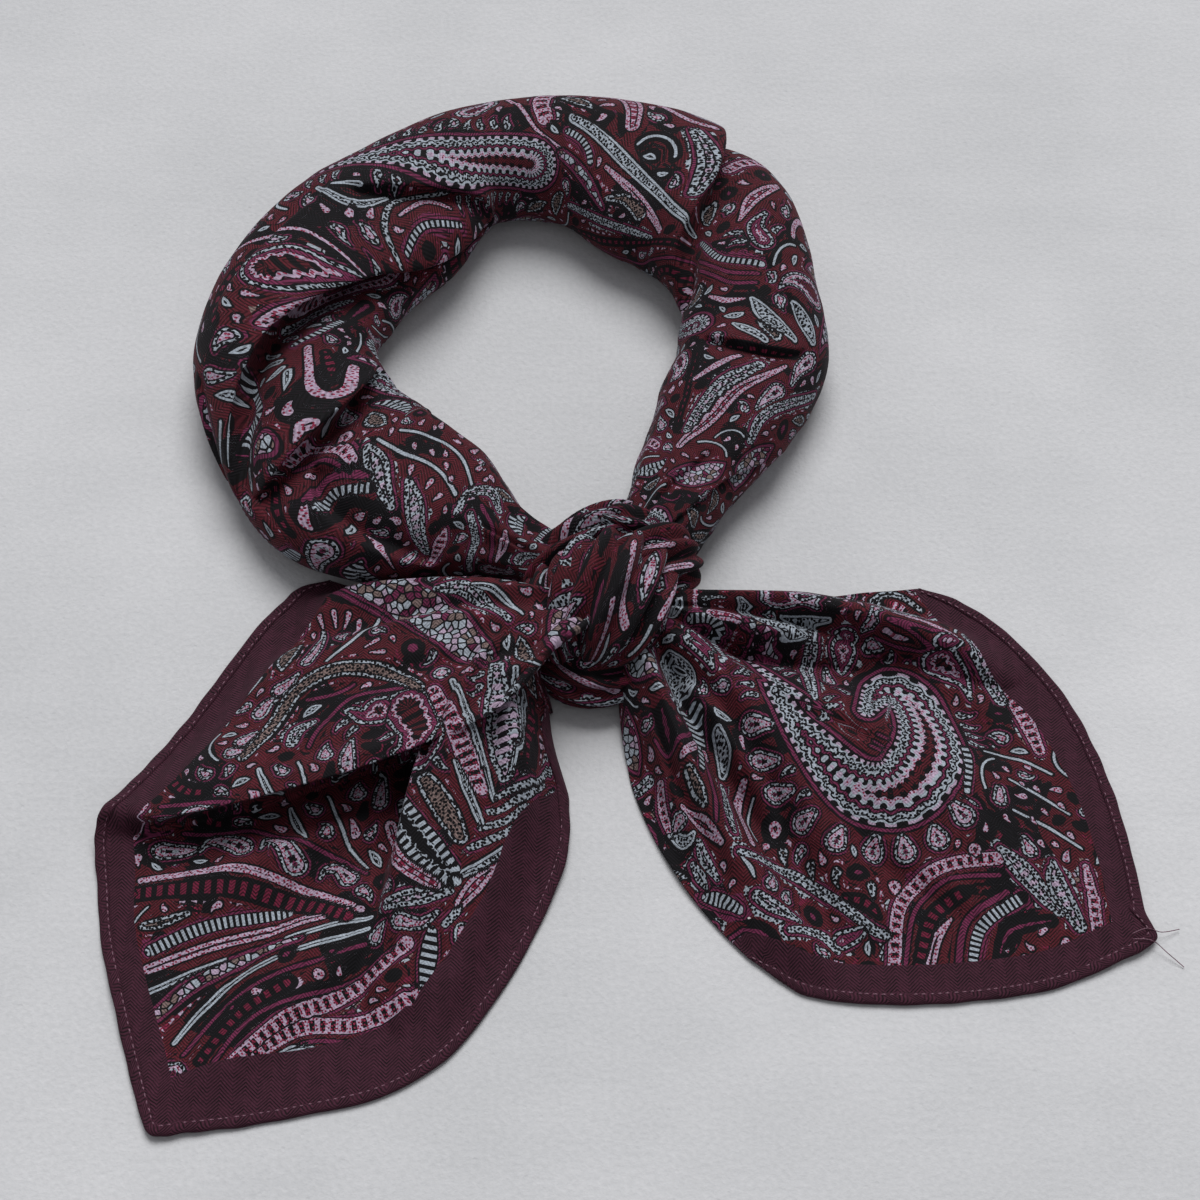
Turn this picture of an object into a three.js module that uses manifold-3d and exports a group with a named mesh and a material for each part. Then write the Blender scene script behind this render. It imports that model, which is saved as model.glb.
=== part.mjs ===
// A square scarf of thin wool twill, rolled into a neck loop and tied in front, lying on a flat surface.
// Millimetres, +Z up. The surface that it lies on is z = 0, and plan places are measured from a point
// under the knot; the group is then moved so that the middle of the footprint is the origin.

import * as THREE from "three";
import { mergeVertices } from "three/addons/utils/BufferGeometryUtils.js";
import Module from "manifold-3d";

// Driving dimensions
const clothWall = 1.0; // one layer of the draped ends
const hemWidth = 3.3; // the edge is turned twice and stitched
const hemThickness = 1.5;
const gap = 0.3; // between neighbouring pieces
const restHeight = 1.2; // top of a single layer that lies on the surface
const footprintMiddle = { x: 5.5, y: 6.8 };

// Neck band: a roll of cloth, from its left end in the knot round the neck to its right end.
// A row for each station along it: middle in plan, width across, height, and how far its underside
// is off the surface, as it is where the roll climbs into the knot.
const bandStations = [
  { x: -8, y: -1, width: 15, height: 15, foot: 5 },
  { x: -25.5, y: 10.5, width: 21, height: 20, foot: 2 },
  { x: -44.5, y: 22, width: 46, height: 25, foot: 0 },
  { x: -69, y: 34, width: 62, height: 26, foot: 0 },
  { x: -86.4, y: 57.5, width: 55, height: 26, foot: 0 },
  { x: -93, y: 84, width: 54, height: 27, foot: 0 },
  { x: -83.5, y: 110.5, width: 55, height: 28, foot: 0 },
  { x: -64, y: 132, width: 55, height: 28, foot: 0 },
  { x: -41, y: 153.5, width: 39, height: 28, foot: 0 },
  { x: -12, y: 157.5, width: 42, height: 29, foot: 0 },
  { x: 14, y: 148, width: 55, height: 28, foot: 0 },
  { x: 35.5, y: 131.5, width: 52, height: 28, foot: 0 },
  { x: 45.5, y: 106, width: 42, height: 27, foot: 0 },
  { x: 46.2, y: 80, width: 47, height: 26, foot: 0 },
  { x: 38, y: 57, width: 43, height: 26, foot: 0 },
  { x: 27, y: 36, width: 33, height: 25, foot: 0 },
  { x: 18.5, y: 19, width: 24, height: 22, foot: 2 },
  { x: 9, y: 2, width: 15, height: 15, foot: 5 },
];
const bandSquareness = 2.25; // 2 would be an ellipse
const bandWaist = 0.42; // widest at this share of the height
const bandSettle = 2.5; // how far the round underside is pressed flat
const stationSpacing = 28;
const girthPerRadian = 22;

// Laps of the roll: one layer's edge lies over the next. A place on the roll is its station number and
// the angle round it in degrees, from 0 at the outside over 90 on top to 180 at the inside.
// On the unrolled skin, with stations to the right, the cloth on the left of the edge lies on top
// where over is 1, and the cloth on its right where over is -1.
const bandLaps = [
  { from: [7.9, 178], via: [5.3, 90], to: [3.5, 0], lip: 3, groove: 8, reach: 13, over: 1 },
  { from: [4.2, 150], via: [3.6, 90], to: [3.4, 15], lip: 2, groove: 5, reach: 10, over: 1 },
  { from: [3.3, 72], via: [2.8, 44], to: [1.6, 15], lip: 1.5, groove: 4.5, reach: 10, over: 1 },
  { from: [6.7, 76], via: [7.3, 108], to: [7.8, 165], lip: 1.2, groove: 3, reach: 7, over: -1 },
  { from: [10.2, 30], via: [11.1, 105], to: [12.4, 170], lip: 2, groove: 2.5, reach: 8, over: 1 },
  { from: [13.1, 45], via: [13.3, 86], to: [13.3, 125], lip: 0.8, groove: 1.6, reach: 6, over: 1 },
];
const lapSharpness = 5; // of the step from one layer to the next
// Pleats that gather the roll where it goes into the knot, at its first and its last station
const bandPleats = [
  { station: 0, reach: 2.4, count: 6, depth: 1.4 },
  { station: 17, reach: 4, count: 6, depth: 1.4 },
];

// Knot: thick wraps of gathered cloth that pass over each other. Each is a swept lobe with rounded ends,
// through three places, with half its width and half its thickness, and so many pleats along it or rings
// round it, of a depth.
const knotWraps = [
  {
    // core, where the ends pass through
    path: [[-11, -13, 10], [2, -11, 11], [15, -4, 11]],
    halfWidth: 15, halfThickness: 12, pleats: 0, rings: 0, depth: 0,
  },
  {
    // front wrap, down over the middle
    path: [[3, 6, 14], [2.5, -12, 24], [-1, -29, 9]],
    halfWidth: 17, halfThickness: 10, pleats: 9, rings: 0, depth: 0.7,
  },
  {
    // rear wrap, along the back
    path: [[-17, -10, 11], [-3, 5, 15], [13, 17, 14]],
    halfWidth: 9, halfThickness: 9.5, pleats: 0, rings: 9, depth: 0.6,
  },
  {
    // under wrap, low across the front
    path: [[-13, -26, 8], [-1, -31, 8.5], [14, -25, 8]],
    halfWidth: 8, halfThickness: 8, pleats: 6, rings: 0, depth: 0.6,
  },
  {
    // collar at the right, where the roll goes in
    path: [[2, -8, 20], [14, 0, 17], [25, 6, 13]],
    halfWidth: 12, halfThickness: 9, pleats: 8, rings: 0, depth: 0.9,
  },
  {
    // side wrap at the left
    path: [[-12, -2, 14], [-12.5, -16, 15], [-9, -30, 10]],
    halfWidth: 7, halfThickness: 8, pleats: 6, rings: 0, depth: 0.6,
  },
];

// Draped ends. Threads run from the mouth of the knot to the hem: a row for each thread gives its tip,
// how far it bows sideways, where it starts along the mouth, 0 at the back, and how far its tip is lifted.
// Folds are ridges in the cloth: a line in plan through three places, its height over the surface at each,
// and how far the cloth takes to fall away on its left and its right, seen from the knot.
const leftTail = {
  mouth: [[-8, -6], [-8, -29]],
  threads: [
    { x: -84, y: 2.5, bow: 4, start: 0, lift: 0 },
    { x: -88, y: -3.5, bow: 4, start: 0.06, lift: 0 },
    { x: -93.5, y: -11.5, bow: 4, start: 0.16, lift: 0 },
    { x: -102, y: -28, bow: 4, start: 0.28, lift: 0 },
    { x: -110, y: -43.5, bow: 4, start: 0.4, lift: 0 },
    { x: -119.5, y: -57.5, bow: 4.5, start: 0.5, lift: 0.5 },
    { x: -128.5, y: -67, bow: 5, start: 0.58, lift: 2 },
    { x: -134, y: -73, bow: 5, start: 0.63, lift: 3 },
    { x: -134.8, y: -80, bow: 5, start: 0.67, lift: 1 },
    { x: -132.5, y: -92, bow: 3.5, start: 0.69, lift: 0 },
    { x: -129.5, y: -109, bow: 0, start: 0.71, lift: 0 },
    { x: -124.5, y: -126, bow: -4, start: 0.73, lift: 1 },
    { x: -119, y: -145, bow: -8, start: 0.75, lift: 0 },
    { x: -114, y: -160, bow: -11, start: 0.765, lift: 0.6 },
    { x: -111, y: -164.5, bow: -12, start: 0.78, lift: 1 },
    { x: -104, y: -164, bow: -12, start: 0.79, lift: 0.6 },
    { x: -90, y: -162, bow: -13, start: 0.81, lift: 0 },
    { x: -72, y: -158.5, bow: -13, start: 0.835, lift: 0 },
    { x: -54, y: -153.5, bow: -11, start: 0.86, lift: 0 },
    { x: -39, y: -143.5, bow: -11, start: 0.885, lift: 0 },
    { x: -27.5, y: -128, bow: -11, start: 0.91, lift: 0 },
    { x: -17, y: -108, bow: -11, start: 0.93, lift: 0 },
    { x: -10, y: -86, bow: -9, start: 0.95, lift: 1 },
    { x: -9.5, y: -69, bow: -7, start: 0.97, lift: 0.5 },
    { x: -11, y: -55, bow: -3.5, start: 0.985, lift: 0 },
    { x: -13, y: -44.5, bow: 0, start: 1, lift: 0 },
  ],
  folds: [
    // back ridge, beside the neck band
    { from: [-12, -10], via: [-48, -6], to: [-88, -3], heights: [20, 18, 3], left: 24, right: 7 },
    // upper flap
    { from: [-14, -18], via: [-58, -28], to: [-112, -46], heights: [19, 17, 2], left: 26, right: 26 },
    // crest of the flap, steep in front
    { from: [-12, -23.5], via: [-62, -48], to: [-133, -73], heights: [23, 19, 3], left: 7, right: 30 },
    // long ridge down the middle
    { from: [-9, -30], via: [-35, -66], to: [-50, -116], heights: [20, 18, 3], left: 30, right: 19 },
    // swells of the lower flap
    { from: [-64, -70], via: [-95, -90], to: [-128, -108], heights: [2, 4, 1.5], left: 15, right: 15 },
    { from: [-60, -100], via: [-84, -128], to: [-106, -156], heights: [3, 3.5, 1.5], left: 14, right: 14 },
    { from: [-14, -50], via: [-18, -74], to: [-13, -92], heights: [14, 9, 2], left: 12, right: 12 },
  ],
};
const rightTail = {
  mouth: [[13, -3], [5, -26]],
  threads: [
    { x: 88, y: 1.5, bow: -4, start: 0, lift: 0 },
    { x: 94, y: -2.5, bow: -4, start: 0.07, lift: 0 },
    { x: 102, y: -6.5, bow: -4, start: 0.14, lift: 0 },
    { x: 111, y: -12.5, bow: -4, start: 0.21, lift: 0 },
    { x: 120.5, y: -22.5, bow: -3.5, start: 0.28, lift: 0 },
    { x: 128.5, y: -35.5, bow: -3, start: 0.36, lift: 0 },
    { x: 135, y: -51, bow: -1, start: 0.43, lift: 0 },
    { x: 139, y: -68, bow: 1, start: 0.49, lift: 0 },
    { x: 142, y: -86, bow: 2, start: 0.54, lift: 0 },
    { x: 143.5, y: -101, bow: 3, start: 0.58, lift: 0.5 },
    { x: 145.5, y: -109.5, bow: 3, start: 0.6, lift: 1 },
    { x: 136, y: -115.5, bow: 3, start: 0.63, lift: 0.5 },
    { x: 119, y: -123, bow: 2, start: 0.67, lift: 0 },
    { x: 101, y: -126.5, bow: 0, start: 0.71, lift: 0 },
    { x: 83, y: -128, bow: -2, start: 0.75, lift: 0 },
    { x: 66, y: -127, bow: -5, start: 0.81, lift: 0 },
    { x: 53, y: -124, bow: -7, start: 0.88, lift: 0 },
    { x: 43.5, y: -117.5, bow: -10.5, start: 1, lift: 0 },
  ],
  folds: [
    // roll along the top edge, leaning over the pocket in front of it
    { from: [20, -5], via: [64, -8], to: [112, -22], heights: [18, 17, 4], left: 8, right: 9, lean: -2.5 },
    // front of the roll, near the knot
    { from: [18, -12], via: [44, -17], to: [68, -18], heights: [18, 15, 6], left: 12, right: 8 },
    // large domed panel
    { from: [36, -40], via: [80, -58], to: [122, -94], heights: [12, 12, 2], left: 26, right: 36 },
    // shoulder of the panel, steep towards the valley
    { from: [18, -21], via: [46, -54], to: [68, -102], heights: [17, 13, 3], left: 16, right: 9 },
    // ridge down beside the folded side edge
    { from: [12, -28], via: [26, -66], to: [54, -117], heights: [18, 12.5, 4], left: 10, right: 14 },
  ],
};
const tuckThreads = 1; // the side edges are folded under across this many threads
const tuckedShare = 0.25; // of the cloth's height is left at a folded edge
const rimSlope = 20; // the cloth comes down to the hem over this distance
const foldRoundness = 1.6; // of the sides of a fold
const shallowThread = 0.35; // sine of the least angle at which a thread is taken to meet the hem

// Fineness of the faceted solids
const bandRingsPerStation = 4;
const bandSides = 24;
const wrapRings = 12;
const wrapSides = 16;
const columnsPerThread = 2;
const tailRows = 14;
const foldLineSteps = 10;
const readStep = 0.05; // stations or threads either side of a place whose direction is wanted
const shareStep = 0.02; // the same along a thread or a wrap, as a share of its length

const wasm = await Module();
wasm.setup();

/** Smooth curve through table rows of numbers, read at a row number that need not be whole. */
function spline(rows, place) {
  const last = rows.length - 1;
  const index = Math.min(Math.floor(THREE.MathUtils.clamp(place, 0, last)), last - 1);
  const f = THREE.MathUtils.clamp(place, 0, last) - index;
  const [a, b] = [rows[Math.max(index - 1, 0)], rows[index]];
  const [c, d] = [rows[index + 1], rows[Math.min(index + 2, last)]];
  return b.map((value, k) => {
    const cubic = 3 * (value - c[k]) + d[k] - a[k];
    const square = 2 * a[k] - 5 * value + 4 * c[k] - d[k];
    return value + 0.5 * f * (c[k] - a[k] + f * (square + f * cubic));
  });
}

/** Point or number at share t of the parabola through three others. */
function parabola(from, via, to, t) {
  const mix = (a, b, c) => (1 - t) ** 2 * a + 2 * t * (1 - t) * (2 * b - (a + c) / 2) + t ** 2 * c;
  return Array.isArray(from) ? from.map((value, k) => mix(value, via[k], to[k])) : mix(from, via, to);
}

/** A fold's line in plan as short straight pieces. */
function foldLine({ from, via, to }) {
  return Array.from({ length: foldLineSteps + 1 }, (_, k) => parabola(from, via, to, k / foldLineSteps));
}

/**
 * Nearest place on a line: share along it, the distance, and the left normal there. The bearing is 1 where
 * the point is square to the left of the line, -1 to its right, and passes through 0 ahead of its ends.
 */
function nearest(line, [x, y]) {
  let best = { distance: Infinity };
  for (let k = 0; k + 1 < line.length; k++) {
    const [[ax, ay], [bx, by]] = [line[k], line[k + 1]];
    const [dx, dy] = [bx - ax, by - ay];
    const length = Math.hypot(dx, dy);
    const f = THREE.MathUtils.clamp(((x - ax) * dx + (y - ay) * dy) / length ** 2, 0, 1);
    const [ox, oy] = [x - ax - f * dx, y - ay - f * dy];
    const distance = Math.hypot(ox, oy);
    if (distance < best.distance) {
      const bearing = (dx * oy - dy * ox) / (length * distance || 1);
      best = { distance, bearing, along: (k + f) / (line.length - 1), normal: [-dy / length, dx / length] };
    }
  }
  return best;
}

/** Closed surface over a grid of rings, each a closed loop of points; the end rings are capped. */
function tubeGeometry(rings) {
  const sides = rings[0].length;
  const points = rings.flat();
  const faces = [];
  for (let r = 0; r + 1 < rings.length; r++) {
    for (let s = 0; s < sides; s++) {
      const [a, b] = [r * sides + s, r * sides + ((s + 1) % sides)];
      faces.push(a, a + sides, b + sides, a, b + sides, b);
    }
  }
  for (const [ring, outward] of [[0, false], [rings.length - 1, true]]) {
    const middle = new THREE.Vector3();
    rings[ring].forEach((point) => middle.addScaledVector(point, 1 / sides));
    points.push(middle);
    for (let s = 0; s < sides; s++) {
      const [a, b] = [ring * sides + s, ring * sides + ((s + 1) % sides)];
      faces.push(points.length - 1, ...(outward ? [b, a] : [a, b]));
    }
  }
  return geometryFrom(points, faces);
}

/** Closed sheet between an upper and a lower grid of points, indexed [column][row]. */
function sheetGeometry(upper, lower) {
  const [columns, rows] = [upper.length, upper[0].length];
  const points = [...upper.flat(), ...lower.flat()];
  const under = columns * rows;
  const faces = [];
  const quad = (a, b, c, d) => faces.push(a, b, c, a, c, d);
  for (let i = 0; i + 1 < columns; i++) {
    for (let j = 0; j + 1 < rows; j++) {
      const [a, b] = [i * rows + j, (i + 1) * rows + j];
      quad(a, a + 1, b + 1, b);
      quad(under + a, under + b, under + b + 1, under + a + 1);
    }
  }
  const rim = [];
  for (let i = 0; i < columns; i++) rim.push(i * rows);
  for (let j = 1; j < rows; j++) rim.push((columns - 1) * rows + j);
  for (let i = columns - 2; i >= 0; i--) rim.push(i * rows + rows - 1);
  for (let j = rows - 2; j > 0; j--) rim.push(j);
  rim.forEach((a, k) => {
    const b = rim[(k + 1) % rim.length];
    quad(a, b, under + b, under + a);
  });
  return geometryFrom(points, faces);
}

/** Geometry of points and triangles, turned so that its faces point out. */
function geometryFrom(points, faces) {
  let volume = 0;
  for (let k = 0; k < faces.length; k += 3) {
    const [a, b, c] = faces.slice(k, k + 3).map((index) => points[index]);
    volume += a.dot(new THREE.Vector3().crossVectors(b, c));
  }
  const geometry = new THREE.BufferGeometry().setFromPoints(points);
  geometry.setIndex(volume < 0 ? faces.toReversed() : faces);
  return geometry;
}

/** Moves a geometry's skin out by a clearance. */
function grow(geometry, clearance) {
  geometry.computeVertexNormals();
  const { position, normal } = geometry.attributes;
  const point = new THREE.Vector3();
  const outward = new THREE.Vector3();
  for (let k = 0; k < position.count; k++) {
    outward.fromBufferAttribute(normal, k);
    point.fromBufferAttribute(position, k).addScaledVector(outward, clearance);
    position.setXYZ(k, point.x, point.y, point.z);
  }
  return geometry;
}

/** Manifold solid of a closed geometry. */
function toSolid(geometry) {
  const bare = geometry.clone().deleteAttribute("normal");
  const merged = mergeVertices(bare, 1e-4);
  const vertProperties = new Float32Array(merged.attributes.position.array);
  const triVerts = new Uint32Array(merged.index.array);
  return new wasm.Manifold(new wasm.Mesh({ numProp: 3, vertProperties, triVerts }));
}

function toGeometry(solid) {
  const mesh = solid.getMesh();
  const geometry = new THREE.BufferGeometry();
  geometry.setAttribute("position", new THREE.BufferAttribute(new Float32Array(mesh.vertProperties), 3));
  geometry.setIndex(new THREE.BufferAttribute(new Uint32Array(mesh.triVerts), 1));
  geometry.computeVertexNormals();
  return geometry;
}

/** The largest of the bodies that a cut leaves. */
function mainBody(solid) {
  const bodies = solid.decompose();
  return bodies.reduce((best, body) => (body.volume() > best.volume() ? body : best));
}

/** A place on the roll, a station number and degrees round it, in millimetres on its unrolled skin. */
function unrolled([station, degrees]) {
  return [station * stationSpacing, THREE.MathUtils.degToRad(degrees) * girthPerRadian];
}

const lapLines = bandLaps.map(({ from, via, to, ...shape }) => ({
  ...shape,
  line: foldLine({ from: unrolled(from), via: unrolled(via), to: unrolled(to) }),
}));

/** How far the laps and pleats push the roll's skin out, at a station and an angle. */
function bandRelief(station, angle) {
  let push = 0;
  for (const { line, lip, groove, reach, over } of lapLines) {
    const { distance, bearing, along } = nearest(line, [station * stationSpacing, angle * girthPerRadian]);
    const fade = Math.sqrt(Math.sin(Math.PI * along));
    const across = (distance * Math.sign(bearing) * over) / reach;
    const step = Math.tanh(across * lapSharpness);
    push += fade * (across > 0 ? lip : groove) * step * Math.exp(-(across ** 2));
  }
  for (const { station: end, reach, count, depth } of bandPleats) {
    const fade = Math.max(0, 1 - Math.abs(station - end) / reach);
    push += depth * fade * Math.cos(count * angle + end);
  }
  return push;
}

const stationRows = bandStations.map(({ x, y, width, height, foot }) => [x, y, width, height, foot]);

/** Skin of the neck band at a station number and an angle round it in radians. */
function bandPoint(station, angle) {
  const [x, y, width, height, foot] = spline(stationRows, station);
  const ahead = spline(stationRows, station + readStep);
  const behind = spline(stationRows, station - readStep);
  const [dx, dy] = [ahead[0] - behind[0], ahead[1] - behind[1]];
  const length = Math.hypot(dx, dy);
  const power = 2 / bandSquareness;
  const [c, s] = [Math.cos(angle), Math.sin(angle)];
  const waist = bandWaist * height;
  const relief = bandRelief(station, angle);
  const across = (width / 2) * Math.sign(c) * Math.abs(c) ** power + relief * c;
  const rise = (s > 0 ? height - waist : waist + bandSettle) * Math.sign(s) * Math.abs(s) ** power;
  const z = Math.max(foot + waist + rise + relief * s, 0);
  return new THREE.Vector3(x - (dy / length) * across, y + (dx / length) * across, z);
}

function neckBand() {
  const last = bandStations.length - 1;
  const rings = [];
  for (let r = 0; r <= last * bandRingsPerStation; r++) {
    const station = r / bandRingsPerStation;
    const ring = [];
    for (let s = 0; s < bandSides; s++) ring.push(bandPoint(station, (s / bandSides) * 2 * Math.PI));
    rings.push(ring);
  }
  return toSolid(tubeGeometry(rings));
}

/** One wrap of the knot, grown all round by a clearance. */
function knotWrap({ path, halfWidth, halfThickness, pleats, rings, depth }, clearance) {
  const point = (t) => new THREE.Vector3(...parabola(...path, t));
  const sections = [];
  for (let r = 0; r <= wrapRings; r++) {
    const turn = (Math.PI * r) / wrapRings;
    const t = 0.5 - 0.5 * Math.cos(turn);
    const forward = point(t + shareStep).sub(point(t - shareStep)).normalize();
    const up = new THREE.Vector3(0, 0, 1).addScaledVector(forward, -forward.z).normalize();
    const side = new THREE.Vector3().crossVectors(forward, up);
    const swell = Math.max(Math.sin(turn) ** 0.7, 0.02);
    const round = rings ? Math.cos(2 * Math.PI * rings * t) : 0;
    const section = [];
    for (let s = 0; s < wrapSides; s++) {
      const angle = (s / wrapSides) * 2 * Math.PI;
      const relief = depth * (round + (pleats ? Math.cos(pleats * angle) : 0));
      const wide = (halfWidth + relief) * swell * Math.cos(angle);
      const thick = (halfThickness + relief) * swell * Math.sin(angle);
      section.push(point(t).addScaledVector(side, wide).addScaledVector(up, thick));
    }
    sections.push(section);
  }
  sections.flat().forEach((place) => place.setZ(Math.max(place.z, 0)));
  return toSolid(grow(tubeGeometry(sections), clearance));
}

/** The knot as one body, filled where its wraps leave a pocket inside. */
function knotSolid(clearance) {
  return mainBody(wasm.Manifold.union(knotWraps.map((wrap) => knotWrap(wrap, clearance))));
}

/** A tail's tables as the functions below read them: rows of numbers, and the folds with their lines. */
function readTail({ mouth, threads, folds }) {
  const rows = threads.map(({ x, y, bow, start, lift }) => [x, y, bow, start, lift]);
  return { mouth, rows, folds: folds.map((fold) => ({ ...fold, line: foldLine(fold) })) };
}

/** Height of the folds of a tail over a place in plan, and how far they lean sideways there. */
function foldsAt(tail, place) {
  let total = 0;
  const lean = [0, 0];
  for (const { line, heights, left, right, lean: slant = 0 } of tail.folds) {
    const { distance, bearing, along, normal } = nearest(line, place);
    const height = Math.max(parabola(...heights, along), 0);
    const reach = THREE.MathUtils.lerp(right, left, (bearing + 1) / 2);
    const drop = Math.cos((Math.PI / 2) * Math.min(distance / reach, 1)) ** foldRoundness;
    total += (height * drop) ** 4;
    const share = (slant * height * drop * drop) / Math.max(...heights);
    lean[0] += share * normal[0];
    lean[1] += share * normal[1];
  }
  return { height: total ** 0.25, lean };
}

/** Where a thread starts in the mouth of the knot, and its run in plan from there to its tip. */
function threadRun(tail, thread) {
  const [tipX, tipY, bow, start, lift] = spline(tail.rows, thread);
  const [back, front] = tail.mouth;
  const startX = THREE.MathUtils.lerp(back[0], front[0], start);
  const startY = THREE.MathUtils.lerp(back[1], front[1], start);
  const [runX, runY] = [tipX - startX, tipY - startY];
  return { startX, startY, runX, runY, length: Math.hypot(runX, runY), bow, lift };
}

/** Top of a tail's cloth: thread number across, share along the thread from the knot to the hem. */
function tailPoint(tail, thread, share) {
  const { startX, startY, runX, runY, length, bow, lift } = threadRun(tail, thread);
  const sway = (4 * bow * share * (1 - share)) / length;
  const x = startX + runX * share - runY * sway;
  const y = startY + runY * share + runX * sway;
  const { height, lean } = foldsAt(tail, [x, y]);
  const toEdge = Math.min(thread, tail.rows.length - 1 - thread) / tuckThreads;
  const tuck = Math.sqrt(1 - (1 - Math.min(toEdge, 1)) ** 2);
  const rim = THREE.MathUtils.smoothstep((1 - share) * length, 0, rimSlope);
  const raised = THREE.MathUtils.lerp(tuckedShare, 1, tuck) * rim;
  const z = restHeight + height * raised + lift * (1 - rim);
  return new THREE.Vector3(x + lean[0] * rim, y + lean[1] * rim, z);
}

/** Upward normal of a tail's cloth. */
function tailNormal(tail, thread, share) {
  const last = tail.rows.length - 1;
  const [before, after] = [Math.max(thread - readStep, 0), Math.min(thread + readStep, last)];
  const across = tailPoint(tail, after, share).sub(tailPoint(tail, before, share));
  const down = tailPoint(tail, thread, Math.min(share + shareStep, 1));
  down.sub(tailPoint(tail, thread, Math.max(share - shareStep, 0)));
  const normal = across.cross(down).normalize();
  return normal.z < 0 ? normal.negate() : normal;
}

/** Share along a thread that lies a distance in from the hem's edge, measured square to that edge. */
function shareInside(tail, thread, distance) {
  const last = tail.rows.length - 1;
  const edge = tailPoint(tail, Math.min(thread + readStep, last), 1);
  edge.sub(tailPoint(tail, Math.max(thread - readStep, 0), 1)).setZ(0).normalize();
  const run = tailPoint(tail, thread, 1).sub(tailPoint(tail, thread, 1 - shareStep)).setZ(0);
  run.divideScalar(shareStep);
  const square = Math.abs(edge.x * run.y - edge.y * run.x);
  return 1 - distance / Math.max(square, run.length() * shallowThread);
}

/**
 * Closed solid of the cloth from one share of each thread to another, in so many rows. Its thickness is
 * measured square to the cloth, and straight down at the far rim, so that sheet and hem stay clear.
 */
function tailStrip(tail, { rows, begin, end, over, thickness, upright, clearance }) {
  const [upper, lower] = [[], []];
  const up = new THREE.Vector3(0, 0, 1);
  const last = tail.rows.length - 1;
  for (let i = 0; i <= last * columnsPerThread; i++) {
    const thread = i / columnsPerThread;
    const [top, bottom] = [[], []];
    for (let j = 0; j <= rows; j++) {
      const share = THREE.MathUtils.lerp(begin(thread), end(thread), j / rows);
      const square = tailNormal(tail, thread, share);
      square.lerp(up, upright(j / rows)).normalize();
      const point = tailPoint(tail, thread, share).addScaledVector(up, over);
      top.push(point);
      bottom.push(point.clone().addScaledVector(square, -thickness));
    }
    upper.push(top);
    lower.push(bottom);
  }
  lower.flat().forEach((point) => point.setZ(Math.max(point.z, 0)));
  return toSolid(grow(sheetGeometry(upper, lower), clearance));
}

/** The hem of a tail, grown all round by a clearance. */
function tailHem(tail, clearance) {
  const begin = (thread) => shareInside(tail, thread, hemWidth);
  return tailStrip(tail, {
    rows: 1, begin, end: () => 1, upright: () => 1,
    over: hemThickness - restHeight, thickness: hemThickness, clearance,
  });
}

/** The sheet of a tail up to its hem. */
function tailSheet(tail) {
  const end = (thread) => shareInside(tail, thread, hemWidth + gap);
  const upright = (t) => THREE.MathUtils.smoothstep(t, 0.8, 1);
  const sheet = tailStrip(tail, {
    rows: tailRows, begin: () => 0, end, upright,
    over: 0, thickness: clothWall, clearance: 0,
  });
  return sheet.subtract(tailHem(tail, gap));
}

const [left, right] = [readTail(leftTail), readTail(rightTail)];

const printedTwill = new THREE.MeshStandardMaterial({ color: 0x6a2833, roughness: 0.85, metalness: 0 });
const plumTwill = new THREE.MeshStandardMaterial({ color: 0x45222f, roughness: 0.85, metalness: 0 });

function namedMesh(name, solid, material) {
  const mesh = new THREE.Mesh(toGeometry(solid), material.clone());
  mesh.name = name;
  return mesh;
}

const knotClearance = knotSolid(gap);
const clearOfKnot = (solid) => mainBody(solid.subtract(knotClearance));

const scarf = new THREE.Group();
scarf.add(
  namedMesh("neck_band", clearOfKnot(neckBand()), printedTwill),
  namedMesh("knot", knotSolid(0), printedTwill),
  namedMesh("left_tail", clearOfKnot(tailSheet(left)), printedTwill),
  namedMesh("right_tail", clearOfKnot(tailSheet(right)), printedTwill),
  namedMesh("left_hem", clearOfKnot(tailHem(left, 0)), plumTwill),
  namedMesh("right_hem", clearOfKnot(tailHem(right, 0)), plumTwill),
);
scarf.position.set(-footprintMiddle.x, -footprintMiddle.y, 0);

export default scarf;
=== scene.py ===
# %% [markdown]
# # A knotted neck scarf in printed wool twill
# The real thing is one square of thin cloth, rolled from a corner into a loop and tied once, so that
# two corners fan out in front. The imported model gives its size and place. This lesson dresses it: each
# soft solid is replaced by a finer cloth surface in the same place, with folds, hems and stitches,
# and the paisley print is worked out from rows of motifs and drawn by the shader.

# %% Load the fixed frame
import math

import bpy
import numpy as np
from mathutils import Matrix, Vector


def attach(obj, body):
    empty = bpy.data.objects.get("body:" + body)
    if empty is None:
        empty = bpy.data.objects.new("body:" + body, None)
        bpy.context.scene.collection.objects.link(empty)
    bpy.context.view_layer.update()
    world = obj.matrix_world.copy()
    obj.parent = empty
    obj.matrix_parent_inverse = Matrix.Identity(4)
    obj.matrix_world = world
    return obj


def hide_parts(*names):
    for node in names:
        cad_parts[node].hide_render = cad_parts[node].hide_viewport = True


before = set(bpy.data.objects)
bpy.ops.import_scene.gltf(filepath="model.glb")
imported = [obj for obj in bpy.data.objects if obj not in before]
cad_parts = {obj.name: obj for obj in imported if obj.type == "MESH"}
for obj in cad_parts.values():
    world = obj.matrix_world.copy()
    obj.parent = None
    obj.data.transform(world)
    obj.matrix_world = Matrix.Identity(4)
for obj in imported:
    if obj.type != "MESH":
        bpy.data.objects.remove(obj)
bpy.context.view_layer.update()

# %% [markdown]
# ## Measures
# The cloth was measured in millimetres from a place on the table under the knot. Blender works in
# metres from the middle of the footprint, so one function turns finished points into Blender's.

# %% From millimetres on the table to metres in the frame
KNOT_PLACE_MM = np.array([5.5, 6.8, 0.0])  # from the place under the knot to the middle of the footprint


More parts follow.
